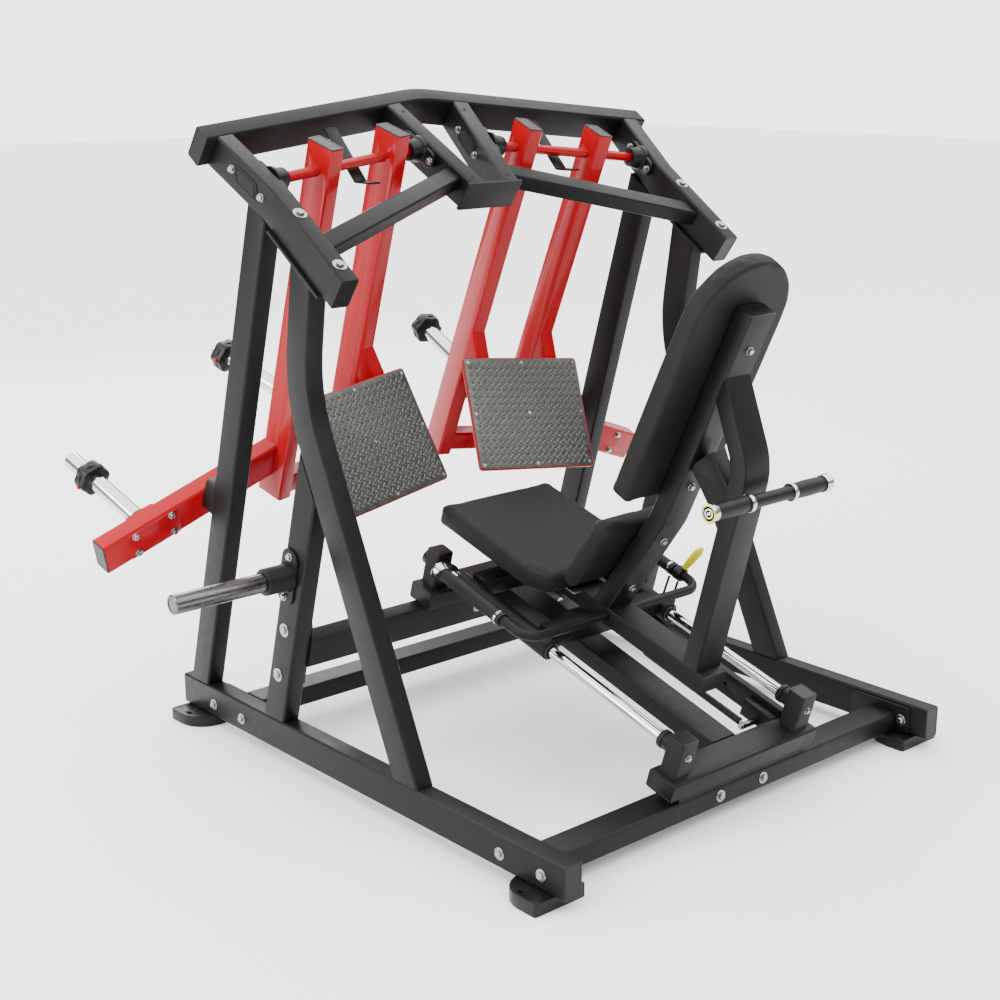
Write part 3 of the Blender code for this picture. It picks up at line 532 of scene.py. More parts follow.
class Workshop:
    """Turns meshes into finished pieces and reports them."""

    def __init__(self) -> None:
        """Starts with no piece made."""
        self.made = 0

    def piece(self, name: str, mesh: Mesh, finish: Finish, body: str | Body,
              stands_for: Sequence[str] = (), crease: float = 35.0) -> bpy.types.Object:
        """One piece: its mesh, finish, body and the CAD nodes it stands for.

        Args:
            name: the piece's name.
            mesh: points and faces in world metres.
            finish: what it is made of.
            body: the body that it rides on.
            stands_for: CAD nodes that it replaces.
            crease: edges sharper than this many degrees stay sharp.

        Returns:
            The new object.
        """
        points, faces = mesh
        data = bpy.data.meshes.new(name)
        data.from_pydata(points.tolist(), [], faces)
        self.tidy(data)
        return self.finish_object(name, data, finish, body, stands_for, crease)

    @staticmethod
    def tidy(data: bpy.types.Mesh, merge: float = 2e-6) -> None:
        """Closes poles and seams and turns every face outwards."""
        work = bmesh.new()
        work.from_mesh(data)
        bmesh.ops.remove_doubles(work, verts=work.verts, dist=merge)
        bmesh.ops.recalc_face_normals(work, faces=work.faces)
        work.to_mesh(data)
        work.free()

    def finish_object(self, name: str, data: bpy.types.Mesh, finish: Finish, body: str | Body,
                      stands_for: Sequence[str], crease: float) -> bpy.types.Object:
        """Shades, dresses, rides and reports a mesh as a piece."""
        data.shade_smooth()
        data.set_sharp_from_angle(angle=math.radians(crease))
        obj = bpy.data.objects.new(name, data)
        bpy.context.scene.collection.objects.link(obj)
        data.materials.clear()
        data.materials.append(finish.material())
        where = body.value if isinstance(body, Body) else body
        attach(obj, where)
        if stands_for:
            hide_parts(*stands_for)
        self.made += 1
        LOG.info("made %s in %s on %s", name, finish.name, where)
        return obj

    def skinned(self, node: str, name: str, finish: Finish, body: str | Body,
                edge: float = 0.0016) -> bpy.types.Object:
        """A CAD node's own shape with its flats joined and every hard edge rounded.

        Args:
            node: the CAD node.
            name: the new piece's name.
            finish: what it is made of.
            body: the body that it rides on.
            edge: width of the rounding; 0 leaves the edges.

        Returns:
            The new object, which stands for the node.
        """
        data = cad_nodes[node].data.copy()
        data.name = name
        work = bmesh.new()
        work.from_mesh(data)
        bmesh.ops.remove_doubles(work, verts=work.verts, dist=2e-6)
        bmesh.ops.dissolve_limit(work, angle_limit=math.radians(0.6), verts=work.verts,
                                 edges=work.edges)
        bmesh.ops.recalc_face_normals(work, faces=work.faces)
        if edge:
            hard = [e for e in work.edges
                    if len(e.link_faces) == 2 and e.calc_face_angle(0.0) > math.radians(28)]
            bmesh.ops.bevel(work, geom=hard, offset=edge, offset_type="OFFSET", segments=2,
                            profile=0.5, affect="EDGES", clamp_overlap=True)
        bmesh.ops.triangulate(work, faces=[f for f in work.faces if len(f.verts) > 4])
        work.to_mesh(data)
        work.free()
        return self.finish_object(name, data, finish, body, [node], 32.0)


# ---- Small hardware --------------------------------------------------------------------


@dataclass(frozen=True)
class Bolt:
    """A hexagon bolt head on a round washer."""

    washer: float = 0.0165
    head: float = 0.0100
    height: float = 0.0075
    thickness: float = 0.0025

    def mesh(self, where: Array, normal: Array) -> Mesh:
        """The washer and head on a surface point.

        The washer is turned; the head is a six-sided prism whose top shrinks to a chamfer.
        """
        axes = facing(where, normal)
        w, t = self.washer, self.thickness
        washer = lathe(axes, [(-0.001, w), (t * 0.6, w), (t, w * 0.95), (t, self.head * 0.6)], 32)
        top = t + self.height
        head = lathe(axes, [(t * 0.5, self.head), (top * 0.82, self.head), (top, self.head * 0.84),
                            (top * 0.97, self.head * 0.55)], 6)
        return together(washer, head)

    def row(self, places: Sequence[tuple[Array, Array]]) -> Mesh:
        """One bolt at each (point, normal)."""
        return together(*[self.mesh(where, normal) for where, normal in places])


BIG_BOLT = Bolt(0.0205, 0.0115, 0.007)
RAIL_BOLT = Bolt(0.0170, 0.0100, 0.007)
PLATE_BOLT = Bolt(0.0120, 0.0095, 0.007)
SMALL_BOLT = Bolt(0.0105, 0.0075, 0.006, 0.0015)
SCREW = Bolt(0.0058, 0.0034, 0.0012, 0.0014)


@dataclass(frozen=True)
class EndCap:
    """A moulded cap that closes a tube's end, with a shallow framed panel."""

    width: float
    depth: float
    thickness: float = 0.0035

    def mesh(self, where: Array, normal: Array, hint: Array) -> Mesh:
        """The cap on the tube's end; its width runs along the hint."""
        axes = facing(where - 0.001 * unit(normal), normal, hint)
        top = self.thickness + 0.001
        levels = [(0.0006, 0.0), (0.0006, top - 0.0012), (0.0010, top - 0.0004), (0.0018, top),
                  (0.0060, top), (0.0068, top - 0.0007), (0.0110, top - 0.0007)]
        rings = [np.column_stack([rounded_box(self.width - 2 * i, self.depth - 2 * i,
                                              max(0.0075 - i, 0.0008)),
                                  np.full(20, h)]) for i, h in levels]
        local = np.stack(rings)
        return skin(axes.place(local.reshape(-1, 3)).reshape(local.shape))


# ---- The layout: directions and sizes shared by the sub-assemblies -----------------------


@dataclass(frozen=True)
class Layout:
    """Where the machine's main axes are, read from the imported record."""

    track: Axes
    top: Axes
    arm: Axes
    weight: Axes
    plate: Axes
    seat_end: float
    rail_x: float = 0.736
    tube: float = 0.058
    depth: float = 0.0955
    rail_top: float = 0.1305
    shaft_drop: float = 0.034

    @classmethod
    def read(cls, record: dict) -> Layout:
        """Builds the axes from the record's joints and mounts."""
        joints = {j["name"]: j for j in record["behaviour"]["joints"]}
        mounts = {m["name"]: m for m in record["mounts"]}

        def place(name: str) -> Array:
            return np.array(joints[name]["pos_m"], float)

        def axis(name: str) -> Array:
            return unit(np.array(joints[name]["axis"], float))

        along = axis("seat_slide")
        track = Axes(place("seat_slide"), X, along, np.cross(X, along))
        shaft = axis("right_press_swing")
        far = axis("right_upper_collar_slide")
        arm = Axes(place("right_press_swing"), shaft, np.cross(far, shaft), far)
        lift = unit(np.cross(shaft, X))
        slope = np.cross(lift, X)
        origin = arm.origin + cls.shaft_drop * lift
        origin = origin + 0.1545 * slope - arm.origin[0] * X
        top = Axes(origin, X, slope, lift)
        weight_far = axis("right_lower_collar_slide")
        along_weight = unit(shaft + 0.309 * arm.second + 0.079 * far)
        weight = Axes(arm.at(0.098, 0.936, 0.022), along_weight, weight_far,
                      np.cross(weight_far, along_weight))
        near = np.array(mounts["right_foot_rest"]["axis"], float)
        down = unit(arm.second - far)
        plate = Axes(arm.at(-0.036, 0.793, -0.254), shaft, down, -unit(near))
        return cls(track, top, arm, weight, plate, float(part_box("base_rail_right")[0].y))

    @property
    def outer_x(self) -> float:
        """The outer face of the rails and legs."""
        return self.rail_x + self.tube / 2

    @property
    def inner_x(self) -> float:
        """The inner face of the rails and legs."""
        return self.rail_x - self.tube / 2

    def floor_point(self, x: float, y: float, z: float) -> Array:
        """A point measured from the rails' seat end."""
        return np.array([x, self.seat_end + y, z])

    def in_top(self, x: float, slope: float, below: float = 0.04775) -> Array:
        """A point of the top frame, so far below its upper surface."""
        return self.top.at(x, slope, -below)


# The CAD nodes' objects by name, filled once the frame is loaded.
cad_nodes: dict[str, bpy.types.Object] = {}


# ---- Base and side frames --------------------------------------------------------------


@dataclass
class SideFrames:
    """Rails, legs, braces, crossbars, feet and storage horns."""

    layout: Layout
    shop: Workshop
    horn_radius: float = 0.0275
    horn_tip: float = 1.141

    def build(self) -> None:
        """Makes every piece of the base and the sides."""
        for side in Side:
            self.tubes(side)
            self.caps(side)
            self.bolts(side)
            self.flanges(side)
            self.feet(side)
            self.horn(side)
            self.bumper(side)
        for node in ("seat_end_crossbar", "low_crossbar", "raised_crossbar"):
            self.shop.skinned(node, f"painted_{node}", BLACK, Body.FRAME)
        self.crossbar_bolts()

    def tubes(self, side: Side) -> None:
        """The rail, both legs and the curved brace of a side."""
        for node in ("base_rail", "rear_upright", "front_leg", "side_brace"):
            name = f"{node}_{side.label}"
            self.shop.skinned(name, f"painted_{name}", BLACK, Body.FRAME)

    def caps(self, side: Side) -> None:
        """Caps on both ends of the rail."""
        lay = self.layout
        cap = EndCap(lay.tube, lay.depth)
        middle = lay.rail_top - lay.depth / 2
        length = float(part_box("base_rail_right")[1].y) - lay.seat_end
        ends = [cap.mesh(lay.floor_point(lay.rail_x, y, middle), way, X)
                for y, way in ((0.0, -Y), (length, Y))]
        self.shop.piece(f"rail_caps_{side.label}", mirrored(together(*ends), side), PLASTIC,
                        Body.FRAME)

    def bolts(self, side: Side) -> None:
        """Bolts through the rail and through the front leg."""
        lay = self.layout
        places = [(lay.floor_point(lay.outer_x, y, 0.0765), X)
                  for y in (0.080, 0.232, 1.392, 1.545)]
        through = (lay.tube + 0.0088) * X
        places += [(places[i][0] - through, -X) for i in (0, 3)]
        rail = RAIL_BOLT.row(places)
        leg = BIG_BOLT.row([(lay.floor_point(lay.outer_x, y, z), X)
                            for y, z in ((1.149, 0.421), (1.190, 0.275))])
        self.shop.piece(f"side_bolts_{side.label}", mirrored(together(rail, leg), side), ZINC,
                        Body.FRAME)

    def flanges(self, side: Side) -> None:
        """The plates that bolt the crossbars to the rails and the legs."""
        lay = self.layout
        made = []
        for low, high, z in ((0.052, 0.262, 0.0790), (1.364, 1.573, 0.0830)):
            middle = lay.floor_point(lay.inner_x - 0.0085, (low + high) / 2, z)
            axes = Axes(middle, Y, Z, X)
            made.append(slab(axes, rounded_box(high - low, 0.082, 0.014), 0.0083))
        lean = leaning(math.atan(0.27))
        middle = lay.floor_point(lay.inner_x - 0.0085, 1.170, 0.348)
        axes = Axes(middle, np.cross(lean, X), lean, X)
        made.append(slab(axes, rounded_box(0.088, 0.215, 0.014), 0.0083))
        self.shop.piece(f"crossbar_flanges_{side.label}", mirrored(together(*made), side), BLACK,
                        Body.FRAME)

    def feet(self, side: Side) -> None:
        """The moulded floor pads."""
        for end in ("seat_end", "far_end"):
            node = f"{end}_foot_{side.label}"
            self.shop.skinned(node, f"floor_pad_{end}_{side.label}", PLASTIC, Body.FRAME, 0.003)

    def bumper(self, side: Side) -> None:
        """The rubber block that stops the weight arm."""
        node = f"bumper_{side.label}"
        self.shop.skinned(node, f"rubber_stop_{side.label}", GRIP, Body.FRAME, 0.003)

    def horn(self, side: Side) -> None:
        """A storage horn: bolted flange, black collar, satin bar and end plug."""
        lay = self.layout
        low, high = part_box("storage_horn_right")
        lean = leaning(math.atan(0.27))
        centre = np.array([lay.outer_x, (low.y + high.y) / 2, (low.z + high.z) / 2])
        face = Axes(centre + 0.0003 * X, np.cross(lean, X), lean, X)
        flange = slab(face, rounded_box(0.072, 0.170, 0.030, 8), 0.008)
        r = 0.0385
        collar = lathe(face, [(0.004, r + 0.004), (0.010, r + 0.004), (0.016, r), (0.084, r),
                              (0.087, r - 0.0015), (0.090, r - 0.004), (0.090, 0.026)], 56)
        self.shop.piece(f"horn_socket_{side.label}", mirrored(together(flange, collar), side),
                        BLACK, Body.FRAME)
        tip = self.horn_tip - centre[0] - 0.0003
        h = self.horn_radius
        bar = lathe(face, [(0.05, h), (tip - 0.003, h), (tip - 0.0008, h - 0.0018),
                           (tip, h - 0.004), (tip, 0.019), (tip - 0.002, 0.0185),
                           (tip - 0.002, 0.004)], 56)
        self.shop.piece(f"storage_bar_{side.label}", mirrored(bar, side), STEEL, Body.FRAME,
                        [f"storage_horn_{side.label}"])
        bolts = PLATE_BOLT.row([(face.at(0, b, 0.008), X) for b in (-0.064, 0.064)])
        self.shop.piece(f"horn_bolts_{side.label}", mirrored(bolts, side), ZINC, Body.FRAME)

    def crossbar_bolts(self) -> None:
        """Bolts on the crossbars' near faces."""
        lay = self.layout
        places = [(lay.floor_point(x, 0.099, 0.069), -Y) for x in (-0.088, 0.088)]
        track = lay.track
        places += [(track.at(x, 1.040, -0.107), -track.second) for x in (-0.080, 0.080)]
        self.shop.piece("crossbar_bolts", RAIL_BOLT.row(places), ZINC, Body.FRAME)


# ---- Top frame -------------------------------------------------------------------------


@dataclass
class TopFrame:
    """Top bar, side beams, centre frame, front bars, bearings and hanging straps."""

    layout: Layout
    shop: Workshop
    bearing_face: float = 0.2445

    def build(self) -> None:
        """Makes every piece of the top frame."""
        for node in ("top_bar", "centre_frame"):
            self.shop.skinned(node, f"painted_{node}", BLACK, Body.FRAME)
        for side in Side:
            for node in ("side_beam", "front_bar"):
                name = f"{node}_{side.label}"
                self.shop.skinned(name, f"painted_{name}", BLACK, Body.FRAME)
            self.caps(side)
            self.beam_bolts(side)
            self.bearings(side)
            self.reinforcements(side)
            self.strap(side)
        self.drain_holes()

    def caps(self, side: Side) -> None:
        """Caps on the top bar's and the side beam's ends."""
        lay = self.layout
        reach = float(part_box("top_bar")[1].x)
        end = lay.in_top(reach, -0.0294)
        bar_cap = EndCap(lay.depth, 0.0585).mesh(end, X, lay.top.third)
        low = lay.in_top(lay.rail_x, -0.645)
        beam_cap = EndCap(lay.tube, lay.depth).mesh(low, -lay.top.second, X)
        self.shop.piece(f"top_caps_{side.label}", mirrored(together(bar_cap, beam_cap), side),
                        PLASTIC, Body.FRAME)

    def beam_bolts(self, side: Side) -> None:
        """The two large bolts on top of each side beam."""
        lay = self.layout
        places = [(lay.top.at(lay.rail_x, s, 0.0), lay.top.third) for s in (-0.383, -0.590)]
        self.shop.piece(f"beam_bolts_{side.label}", mirrored(BIG_BOLT.row(places), side), ZINC,
                        Body.FRAME)

    def walls(self) -> dict[str, tuple[Array, Array]]:
        """The bearing walls: the point where the shaft meets each, and the way to the arms."""
        arm = self.layout.arm
        inner = self.layout.in_top(0.1305, 0.0668) + arm.first * self.layout.tube / 2
        outer = self.layout.in_top(self.layout.rail_x + 0.245 * math.tan(math.radians(10)), -0.048)
        outer = outer - arm.first * self.layout.tube / 2
        found = {}
        for name, wall, way in (("inner", inner, 1.0), ("outer", outer, -1.0)):
            reach = (wall - arm.origin) @ arm.first
            found[name] = (arm.at(reach, 0, 0), way * arm.first)
        return found

    def level(self) -> Array:
        """The direction in the top frame's plane, square to the shaft."""
        lay = self.layout
        return unit(np.cross(lay.top.third, lay.arm.first))

    def bearings(self, side: Side) -> None:
        """Two-bolt flange bearings at both ends of the shaft."""
        lay = self.layout
        for name, (where, way) in self.walls().items():
            face = facing(where, way, self.level())
            flange = slab(face, rounded_box(0.146, 0.052, 0.0255, 8), 0.014, 0.003)
            tall = abs((lay.arm.at(0, 0, 0) - where) @ lay.arm.first) - self.bearing_face
            housing = lathe(face, [(0.006, 0.040), (0.016, 0.039), (0.022, 0.0335), (0.034, 0.0320),
                                   (tall - 0.004, 0.0300), (tall - 0.001, 0.0285),
                                   (tall, 0.0265), (tall, 0.0180), (tall - 0.004, 0.0172)], 56)
            label = f"{name}_bearing_{side.label}"
            self.shop.piece(f"cast_{label}", mirrored(together(flange, housing), side), PLASTIC,
                            Body.FRAME, [label])
            bolts = PLATE_BOLT.row([(face.at(a, 0, 0.014), way) for a in (-0.058, 0.058)])
            self.shop.piece(f"{name}_bearing_bolts_{side.label}", mirrored(bolts, side), ZINC,
                            Body.FRAME)

    def reinforcements(self, side: Side) -> None:
        """The embossed plates on the beams' other faces, opposite the bearings."""
        lay = self.layout
        plates = []
        places = []
        for where, way in self.walls().values():
            middle = where + 0.020 * self.level() - 0.010 * lay.top.third
            face = facing(middle - way * (lay.tube - 0.0006), -way, self.level())
            relief = [(0.003, 0.0), (0.005, -0.0018), (0.007, -0.0018), (0.0085, 0.0)]
            outline = round_corners([(-0.050, -0.024), (0.032, -0.024), (0.050, 0.0),
                                     (0.050, 0.024), (-0.032, 0.024), (-0.050, 0.0)],
                                    [0.008] * 6, closed=True)
            plates.append(slab(face, outline, 0.003, 0.001, relief))
            places += [(face.at(a, 0, 0), -way) for a in (-0.0625, 0.0625)]
        self.shop.piece(f"bearing_backing_{side.label}", mirrored(together(*plates), side), BLACK,
                        Body.FRAME)
        self.shop.piece(f"backing_bolts_{side.label}", mirrored(PLATE_BOLT.row(places), side), ZINC,
                        Body.FRAME)

    def strap(self, side: Side) -> None:
        """The bent flat strap that hangs from the top bar between the arms, with its lip."""
        hook = self.layout.floor_point(0.390, 1.386, 1.790)
        bends = [(0.0, 0.0), (-0.1407, -0.1441), (-0.203, -0.1441)]
        path = round_corners([hook + a * Y + b * Z for a, b in bends], [0, 0.008, 0], 4)
        flat = rounded_box(0.044, 0.005, 0.0015, 2)
        self.shop.piece(f"stop_strap_{side.label}", mirrored(sweep(flat, path, X), side),
                        BLACK, Body.FRAME)

    def drain_holes(self) -> None:
        """Small dark plugs on top of the centre beams."""
        lay = self.layout
        plugs = []
        for x, s in ((0.118, 0.030), (0.068, -0.284)):
            for sign in (-1, 1):
                face = facing(lay.top.at(sign * x, s, -0.0004), lay.top.third)
                plugs.append(lathe(face, [(-0.002, 0.0055), (0.0009, 0.0055), (0.0012, 0.0048),
                                          (0.0004, 0.0042), (0.0002, 0.001)], 20))
        self.shop.piece("centre_frame_plugs", together(*plugs), GRIP, Body.FRAME)


# ---- Press arms ------------------------------------------------------------------------


@dataclass
class PressArm:
    """One side's swinging arm with its foot plate, sleeves and collars."""

    layout: Layout
    shop: Workshop
    side: Side
    tube: tuple[float, float] = (0.050, 0.100)
    tube_at: tuple[float, float] = (0.098, -0.1693)
    plate_size: tuple[float, float] = (0.446, 0.371)
    sheet_inset: float = 0.004
    pitch: float = 0.0168
    sleeve_radius: float = 0.0265
    collar_length: float = 0.048

    def build(self) -> None:
        """Makes every piece of the arm."""
        self.body = arm_body(self.side)
        self.shop.skinned(f"press_arm_{self.side.label}", f"painted_press_arm_{self.side.label}",
                          RED, self.body, 0.0022)
        self.caps()
        self.foot_plate()
        self.weight_plate()
        self.sleeves()

    def add(self, name: str, mesh: Mesh, finish: Finish, *nodes: str,
            body: Optional[str] = None) -> bpy.types.Object:
        """A piece of this side, mirrored if need be."""
        return self.shop.piece(f"{name}_{self.side.label}", mirrored(mesh, self.side), finish,
                               body or self.body, nodes)

    def caps(self) -> None:
        """Caps on both ends of the two tubes and on the weight arm's end."""
        arm = self.layout.arm
        weight = self.layout.weight
        cap = EndCap(*self.tube)
        ends = [cap.mesh(arm.at(u, d, 0), way * arm.second, arm.first)
                for u in self.tube_at for d, way in ((-0.075, -1), (1.065, 1))]
        ends.append(EndCap(0.0585, 0.1035).mesh(weight.at(0.633, 0, 0), weight.first,
                                                weight.second))
        self.add("arm_caps", together(*ends), PLASTIC)

    def foot_plate(self) -> None:
        """The red backing plate, the grey tread sheet on it and its nine screws."""
        plate = self.layout.plate
        width, height = self.plate_size
        near = Axes(plate.at(0, 0, 0.012), plate.first, -plate.second, -plate.third)
        backing = slab(near, rounded_box(width, height, 0.014, 6), 0.0095, 0.0015)
        self.add("foot_plate_backing", backing, RED, f"foot_plate_{self.side.label}")
        inner = (width - 2 * self.sheet_inset, height - 2 * self.sheet_inset)
        front = near.moved(0, 0, 0.0090)
        sheet = slab(front, rounded_box(*inner, 0.011, 6), 0.0022, 0.0006)
        self.add("tread_sheet", together(sheet, self.tread(front, inner)), TREAD)
        places = [(front.at(a, b, 0.0026), front.third)
                  for a in np.linspace(-1, 1, 3) * (width / 2 - 0.017)
                  for b in np.linspace(-1, 1, 3) * (height / 2 - 0.017)]
        self.add("tread_screws", SCREW.row(places), ZINC)

    def tread(self, face: Axes, size: tuple[float, float]) -> Mesh:
        """Raised bars in a basket weave, at 45 degrees to the plate's sides.

        Bars stand on a square grid turned by an eighth of a turn, and every other one is
        turned by a quarter. A bar is four rings of an oval, each smaller and higher.

        Args:
            face: the sheet, its third axis outwards.
            size: width and height that the bars fill.

        Returns:
            All bars as one mesh.
        """
        count = int(max(size) / self.pitch) + 2
        i, j = np.meshgrid(np.arange(-count, count + 1), np.arange(-count, count + 1))
        even = ((i + j) % 2 == 0).ravel()
        grid = np.stack([i.ravel(), j.ravel()], 1) * self.pitch
        turn = np.pi / 4
        spin = np.array([[math.cos(turn), -math.sin(turn)], [math.sin(turn), math.cos(turn)]])
        centres = grid @ spin.T
        half = np.array(size) / 2 - 0.009
        keep = (np.abs(centres) < half).all(1)
        centres, even = centres[keep], even[keep]
        oval = rounded_box(0.0218, 0.0104, 0.0040, 2)
        rings = [(1.0, 0.0016), (0.93, 0.0026), (0.80, 0.0030), (0.40, 0.0032)]
        bar = np.stack([np.column_stack([oval * s, np.full(len(oval), h)]) for s, h in rings])
        lean = np.where(even, turn, -turn)
        c, s = np.cos(lean), np.sin(lean)
        x, y, up = bar.reshape(-1, 3).T
        local = np.stack([centres[:, :1] + c[:, None] * x - s[:, None] * y,
                          centres[:, 1:] + s[:, None] * x + c[:, None] * y,
                          np.broadcast_to(up, (len(centres), len(up)))], -1)
        points = face.place(local.reshape(-1, 3))
        _, faces = skin(bar)
        stride = bar[..., 0].size
        copies = [[k * stride + v for v in f] for k in range(len(centres)) for f in faces]
        return points, copies

    def weight_plate(self) -> None:
        """The plain bolted plate on the weight arm's near face."""
        weight = self.layout.weight
        near = Axes(weight.at(0.467, -0.0292, 0), weight.first, -weight.third, -weight.second)
        self.add("weight_arm_plate", slab(near, rounded_box(0.176, 0.092, 0.006), 0.004), RED)
        places = [(near.at(a, b, 0.004), near.third) for a in (-0.063, 0.063)
                  for b in (-0.033, 0.033)]
        self.add("weight_arm_bolts", PLATE_BOLT.row(places), ZINC)

    def sleeve(self, base: Axes, length: float) -> Mesh:
        """A round sleeve with a chamfered, dished end."""
        r = self.sleeve_radius
        return lathe(base, [(0.005, r), (length - 0.003, r), (length - 0.001, r - 0.0015),
                            (length, r - 0.0035), (length, r - 0.008), (length - 0.0025, r - 0.010),
                            (length - 0.0025, 0.004)], 56)

    def sleeves(self) -> None:
        """Both sleeves with their flanges, and the collars on them."""
        weight = self.layout.weight
        arm = self.layout.arm
        lower = facing(weight.at(0.468, 0.02925, 0), weight.second, weight.first)
        upper = facing(arm.at(-0.048, 0.837, 0.028), arm.third, arm.first)
        for name, base, length, start in (("lower", lower, 0.375, 0.240),
                                          ("upper", upper, 0.443, 0.375)):
            label = f"{name}_sleeve_{self.side.label}"
            self.add(f"chrome_{name}_sleeve", self.sleeve(base, length), CHROME, label)
            flange = slab(base.moved(0, 0, 0.0003), rounded_box(0.100, 0.092, 0.010), 0.008)
            self.add(f"{name}_sleeve_flange", flange, RED)
            stop = lathe(base, [(0.006, 0.0435), (0.0145, 0.0430), (0.0180, 0.0410),
                                (0.0195, 0.0375), (0.0195, 0.0252)])
            self.add(f"{name}_sleeve_stop", stop, PLASTIC)
            self.collar(name, base.moved(0, 0, start))

    def collar(self, name: str, base: Axes) -> None:
        """A six-lobed spring collar with its release tab.

        Its radius is a mean plus a small cosine of six times the turn, drawn in at both rims.
        """
        turn = np.arange(72) * 2 * np.pi / 72
        lobe = 0.0485 + 0.0028 * np.cos(6 * turn)
        length = self.collar_length
        levels = np.array([(0.0, 0.0255, 0), (0.0, 0.86, 1), (0.003, 0.97, 1), (0.008, 1.0, 1),
                           (length - 0.008, 1.0, 1), (length - 0.003, 0.97, 1),
                           (length, 0.86, 1), (length, 0.0255, 0), (0.0, 0.0255, 0)])
        radius = np.where(levels[:, 2:] > 0, levels[:, 1:2] * lobe, levels[:, 1:2])
        flat = radius[..., None] * np.stack([np.cos(turn), np.sin(turn)], 1)[None]
        height = np.broadcast_to(levels[:, :1, None], flat.shape[:2] + (1,))
        local = np.concatenate([flat, height], -1)
        points = base.place(local.reshape(-1, 3))
        n = len(turn)
        _, faces = skin(local)
        shell = (points, faces[:-2])
        middle = length / 2
        band = lathe(base, [(middle - 0.004, 0.0300), (middle - 0.004, 0.0490),
                            (middle + 0.004, 0.0490), (middle + 0.004, 0.0300)], n)
        body = f"{self.side.label}_{name}_collar"
        node = f"{name}_collar_{self.side.label}"
        self.add(f"{name}_collar_grip", together(shell, band), PLASTIC, node, body=body)
        tab_axes = Axes(base.at(0.049, 0, middle - 0.006), base.second, base.third, base.first)
        tab = slab(tab_axes, rounded_box(0.014, 0.012, 0.003), 0.008)
        self.add(f"{name}_collar_tab", tab, RED, body=body)


# ---- Seat track ------------------------------------------------------------------------


@dataclass
class SeatTrack:
    """The sloping bed: beams, rods, bars and the gas spring."""

    layout: Layout
    shop: Workshop
    rod_x: float = 0.243
    rod_up: float = 0.065
    rod_radius: float = 0.016

    def build(self) -> None:
        """Makes every piece of the track."""
        for node in ("track_rear_beam", "track_front_beam", "track_centre_rail", "lock_rack"):
            self.shop.skinned(node, f"painted_{node}", BLACK, Body.FRAME, 0.0012)
        self.caps()
        self.rods()
        self.gas_spring()

    def caps(self) -> None:
        """Caps on the beams' ends and on the rod blocks."""
        track = self.layout.track
        meshes = []
        for along, x in ((0.0475, 0.291), (1.0685, 0.297)):
            for sign in (-1, 1):
                meshes.append(EndCap(0.095, 0.0562).mesh(track.at(sign * x, along, -0.0281),
                                                         sign * X, track.second))
        for along, size, up in ((0.0505, 0.059, 0.1065), (1.078, 0.056, 0.1095)):
            for sign in (-1, 1):
                meshes.append(EndCap(0.060, size).mesh(track.at(sign * 0.244, along, up),
                                                       track.third, X))
        self.shop.piece("track_caps", together(*meshes), PLASTIC, Body.FRAME)
        places = [(track.at(sign * 0.244, 0.021, 0.062), -track.second) for sign in (-1, 1)]
        self.shop.piece("rod_block_bolts", SMALL_BOLT.row(places), ZINC, Body.FRAME)

    def rods(self) -> None:
        """The two chrome guide rods, and a rubber buffer at each end of their run."""
        track = self.layout.track
        for side in Side:
            x = side.value * self.rod_x
            low, high = 0.0365, 1.0905
            axes = facing(track.at(x, low, self.rod_up), track.second)
            r = self.rod_radius
            rod = lathe(axes, [(0, r - 0.001), (0.001, r), (high - low - 0.001, r),
                               (high - low, r - 0.001)], 56)
            self.shop.piece(f"chrome_guide_rod_{side.label}", rod, CHROME, Body.FRAME,
                            [f"guide_rod_{side.label}"])
            rings = []
            for start, way in ((0.1145, 1), (1.0155, -1)):
                ring = facing(track.at(x, start, self.rod_up), way * track.second)
                rings.append(lathe(ring, [(-0.010, 0.0265), (0.001, 0.0265), (0.004, 0.0250),
                                          (0.006, 0.0220), (0.006, 0.0162)], 40))
            self.shop.piece(f"rod_buffers_{side.label}", together(*rings), GRIP, Body.FRAME)

    def gas_spring(self) -> None:
        """The gas spring's tube with its zinc-plated eye, and its rod."""
        track = self.layout.track
        base = facing(track.at(0.150, 0.156, -0.035), track.second)
        tube = lathe(base, [(0.002, 0.0085), (0.004, 0.0108), (0.386, 0.0108), (0.389, 0.0095),
                            (0.389, 0.0052)], 32)
        self.shop.piece("gas_spring_tube", tube, PLASTIC, Body.FRAME, ["gas_cylinder"])
        neck = lathe(facing(track.at(0.150, 0.140, -0.035), track.second),
                     [(0, 0.006), (0.020, 0.006)], 24)
        eye = facing(track.at(0.1352, 0.140, -0.035), X)
        barrel = lathe(eye, [(0, 0.008), (0.001, 0.010), (0.064, 0.010), (0.0655, 0.009)], 32)
        nut = SMALL_BOLT.mesh(track.at(0.1352, 0.140, -0.035), -X)
        self.shop.piece("gas_spring_eye", together(neck, barrel, nut), ZINC, Body.FRAME)
        rod = lathe(facing(track.at(0.150, 0.530, -0.035), track.second),
                    [(0, 0.005), (0.394, 0.005)], 24)
        self.shop.piece("gas_spring_rod", rod, CHROME, Body.CARRIAGE, ["gas_rod"])


# ---- Seat carriage ---------------------------------------------------------------------


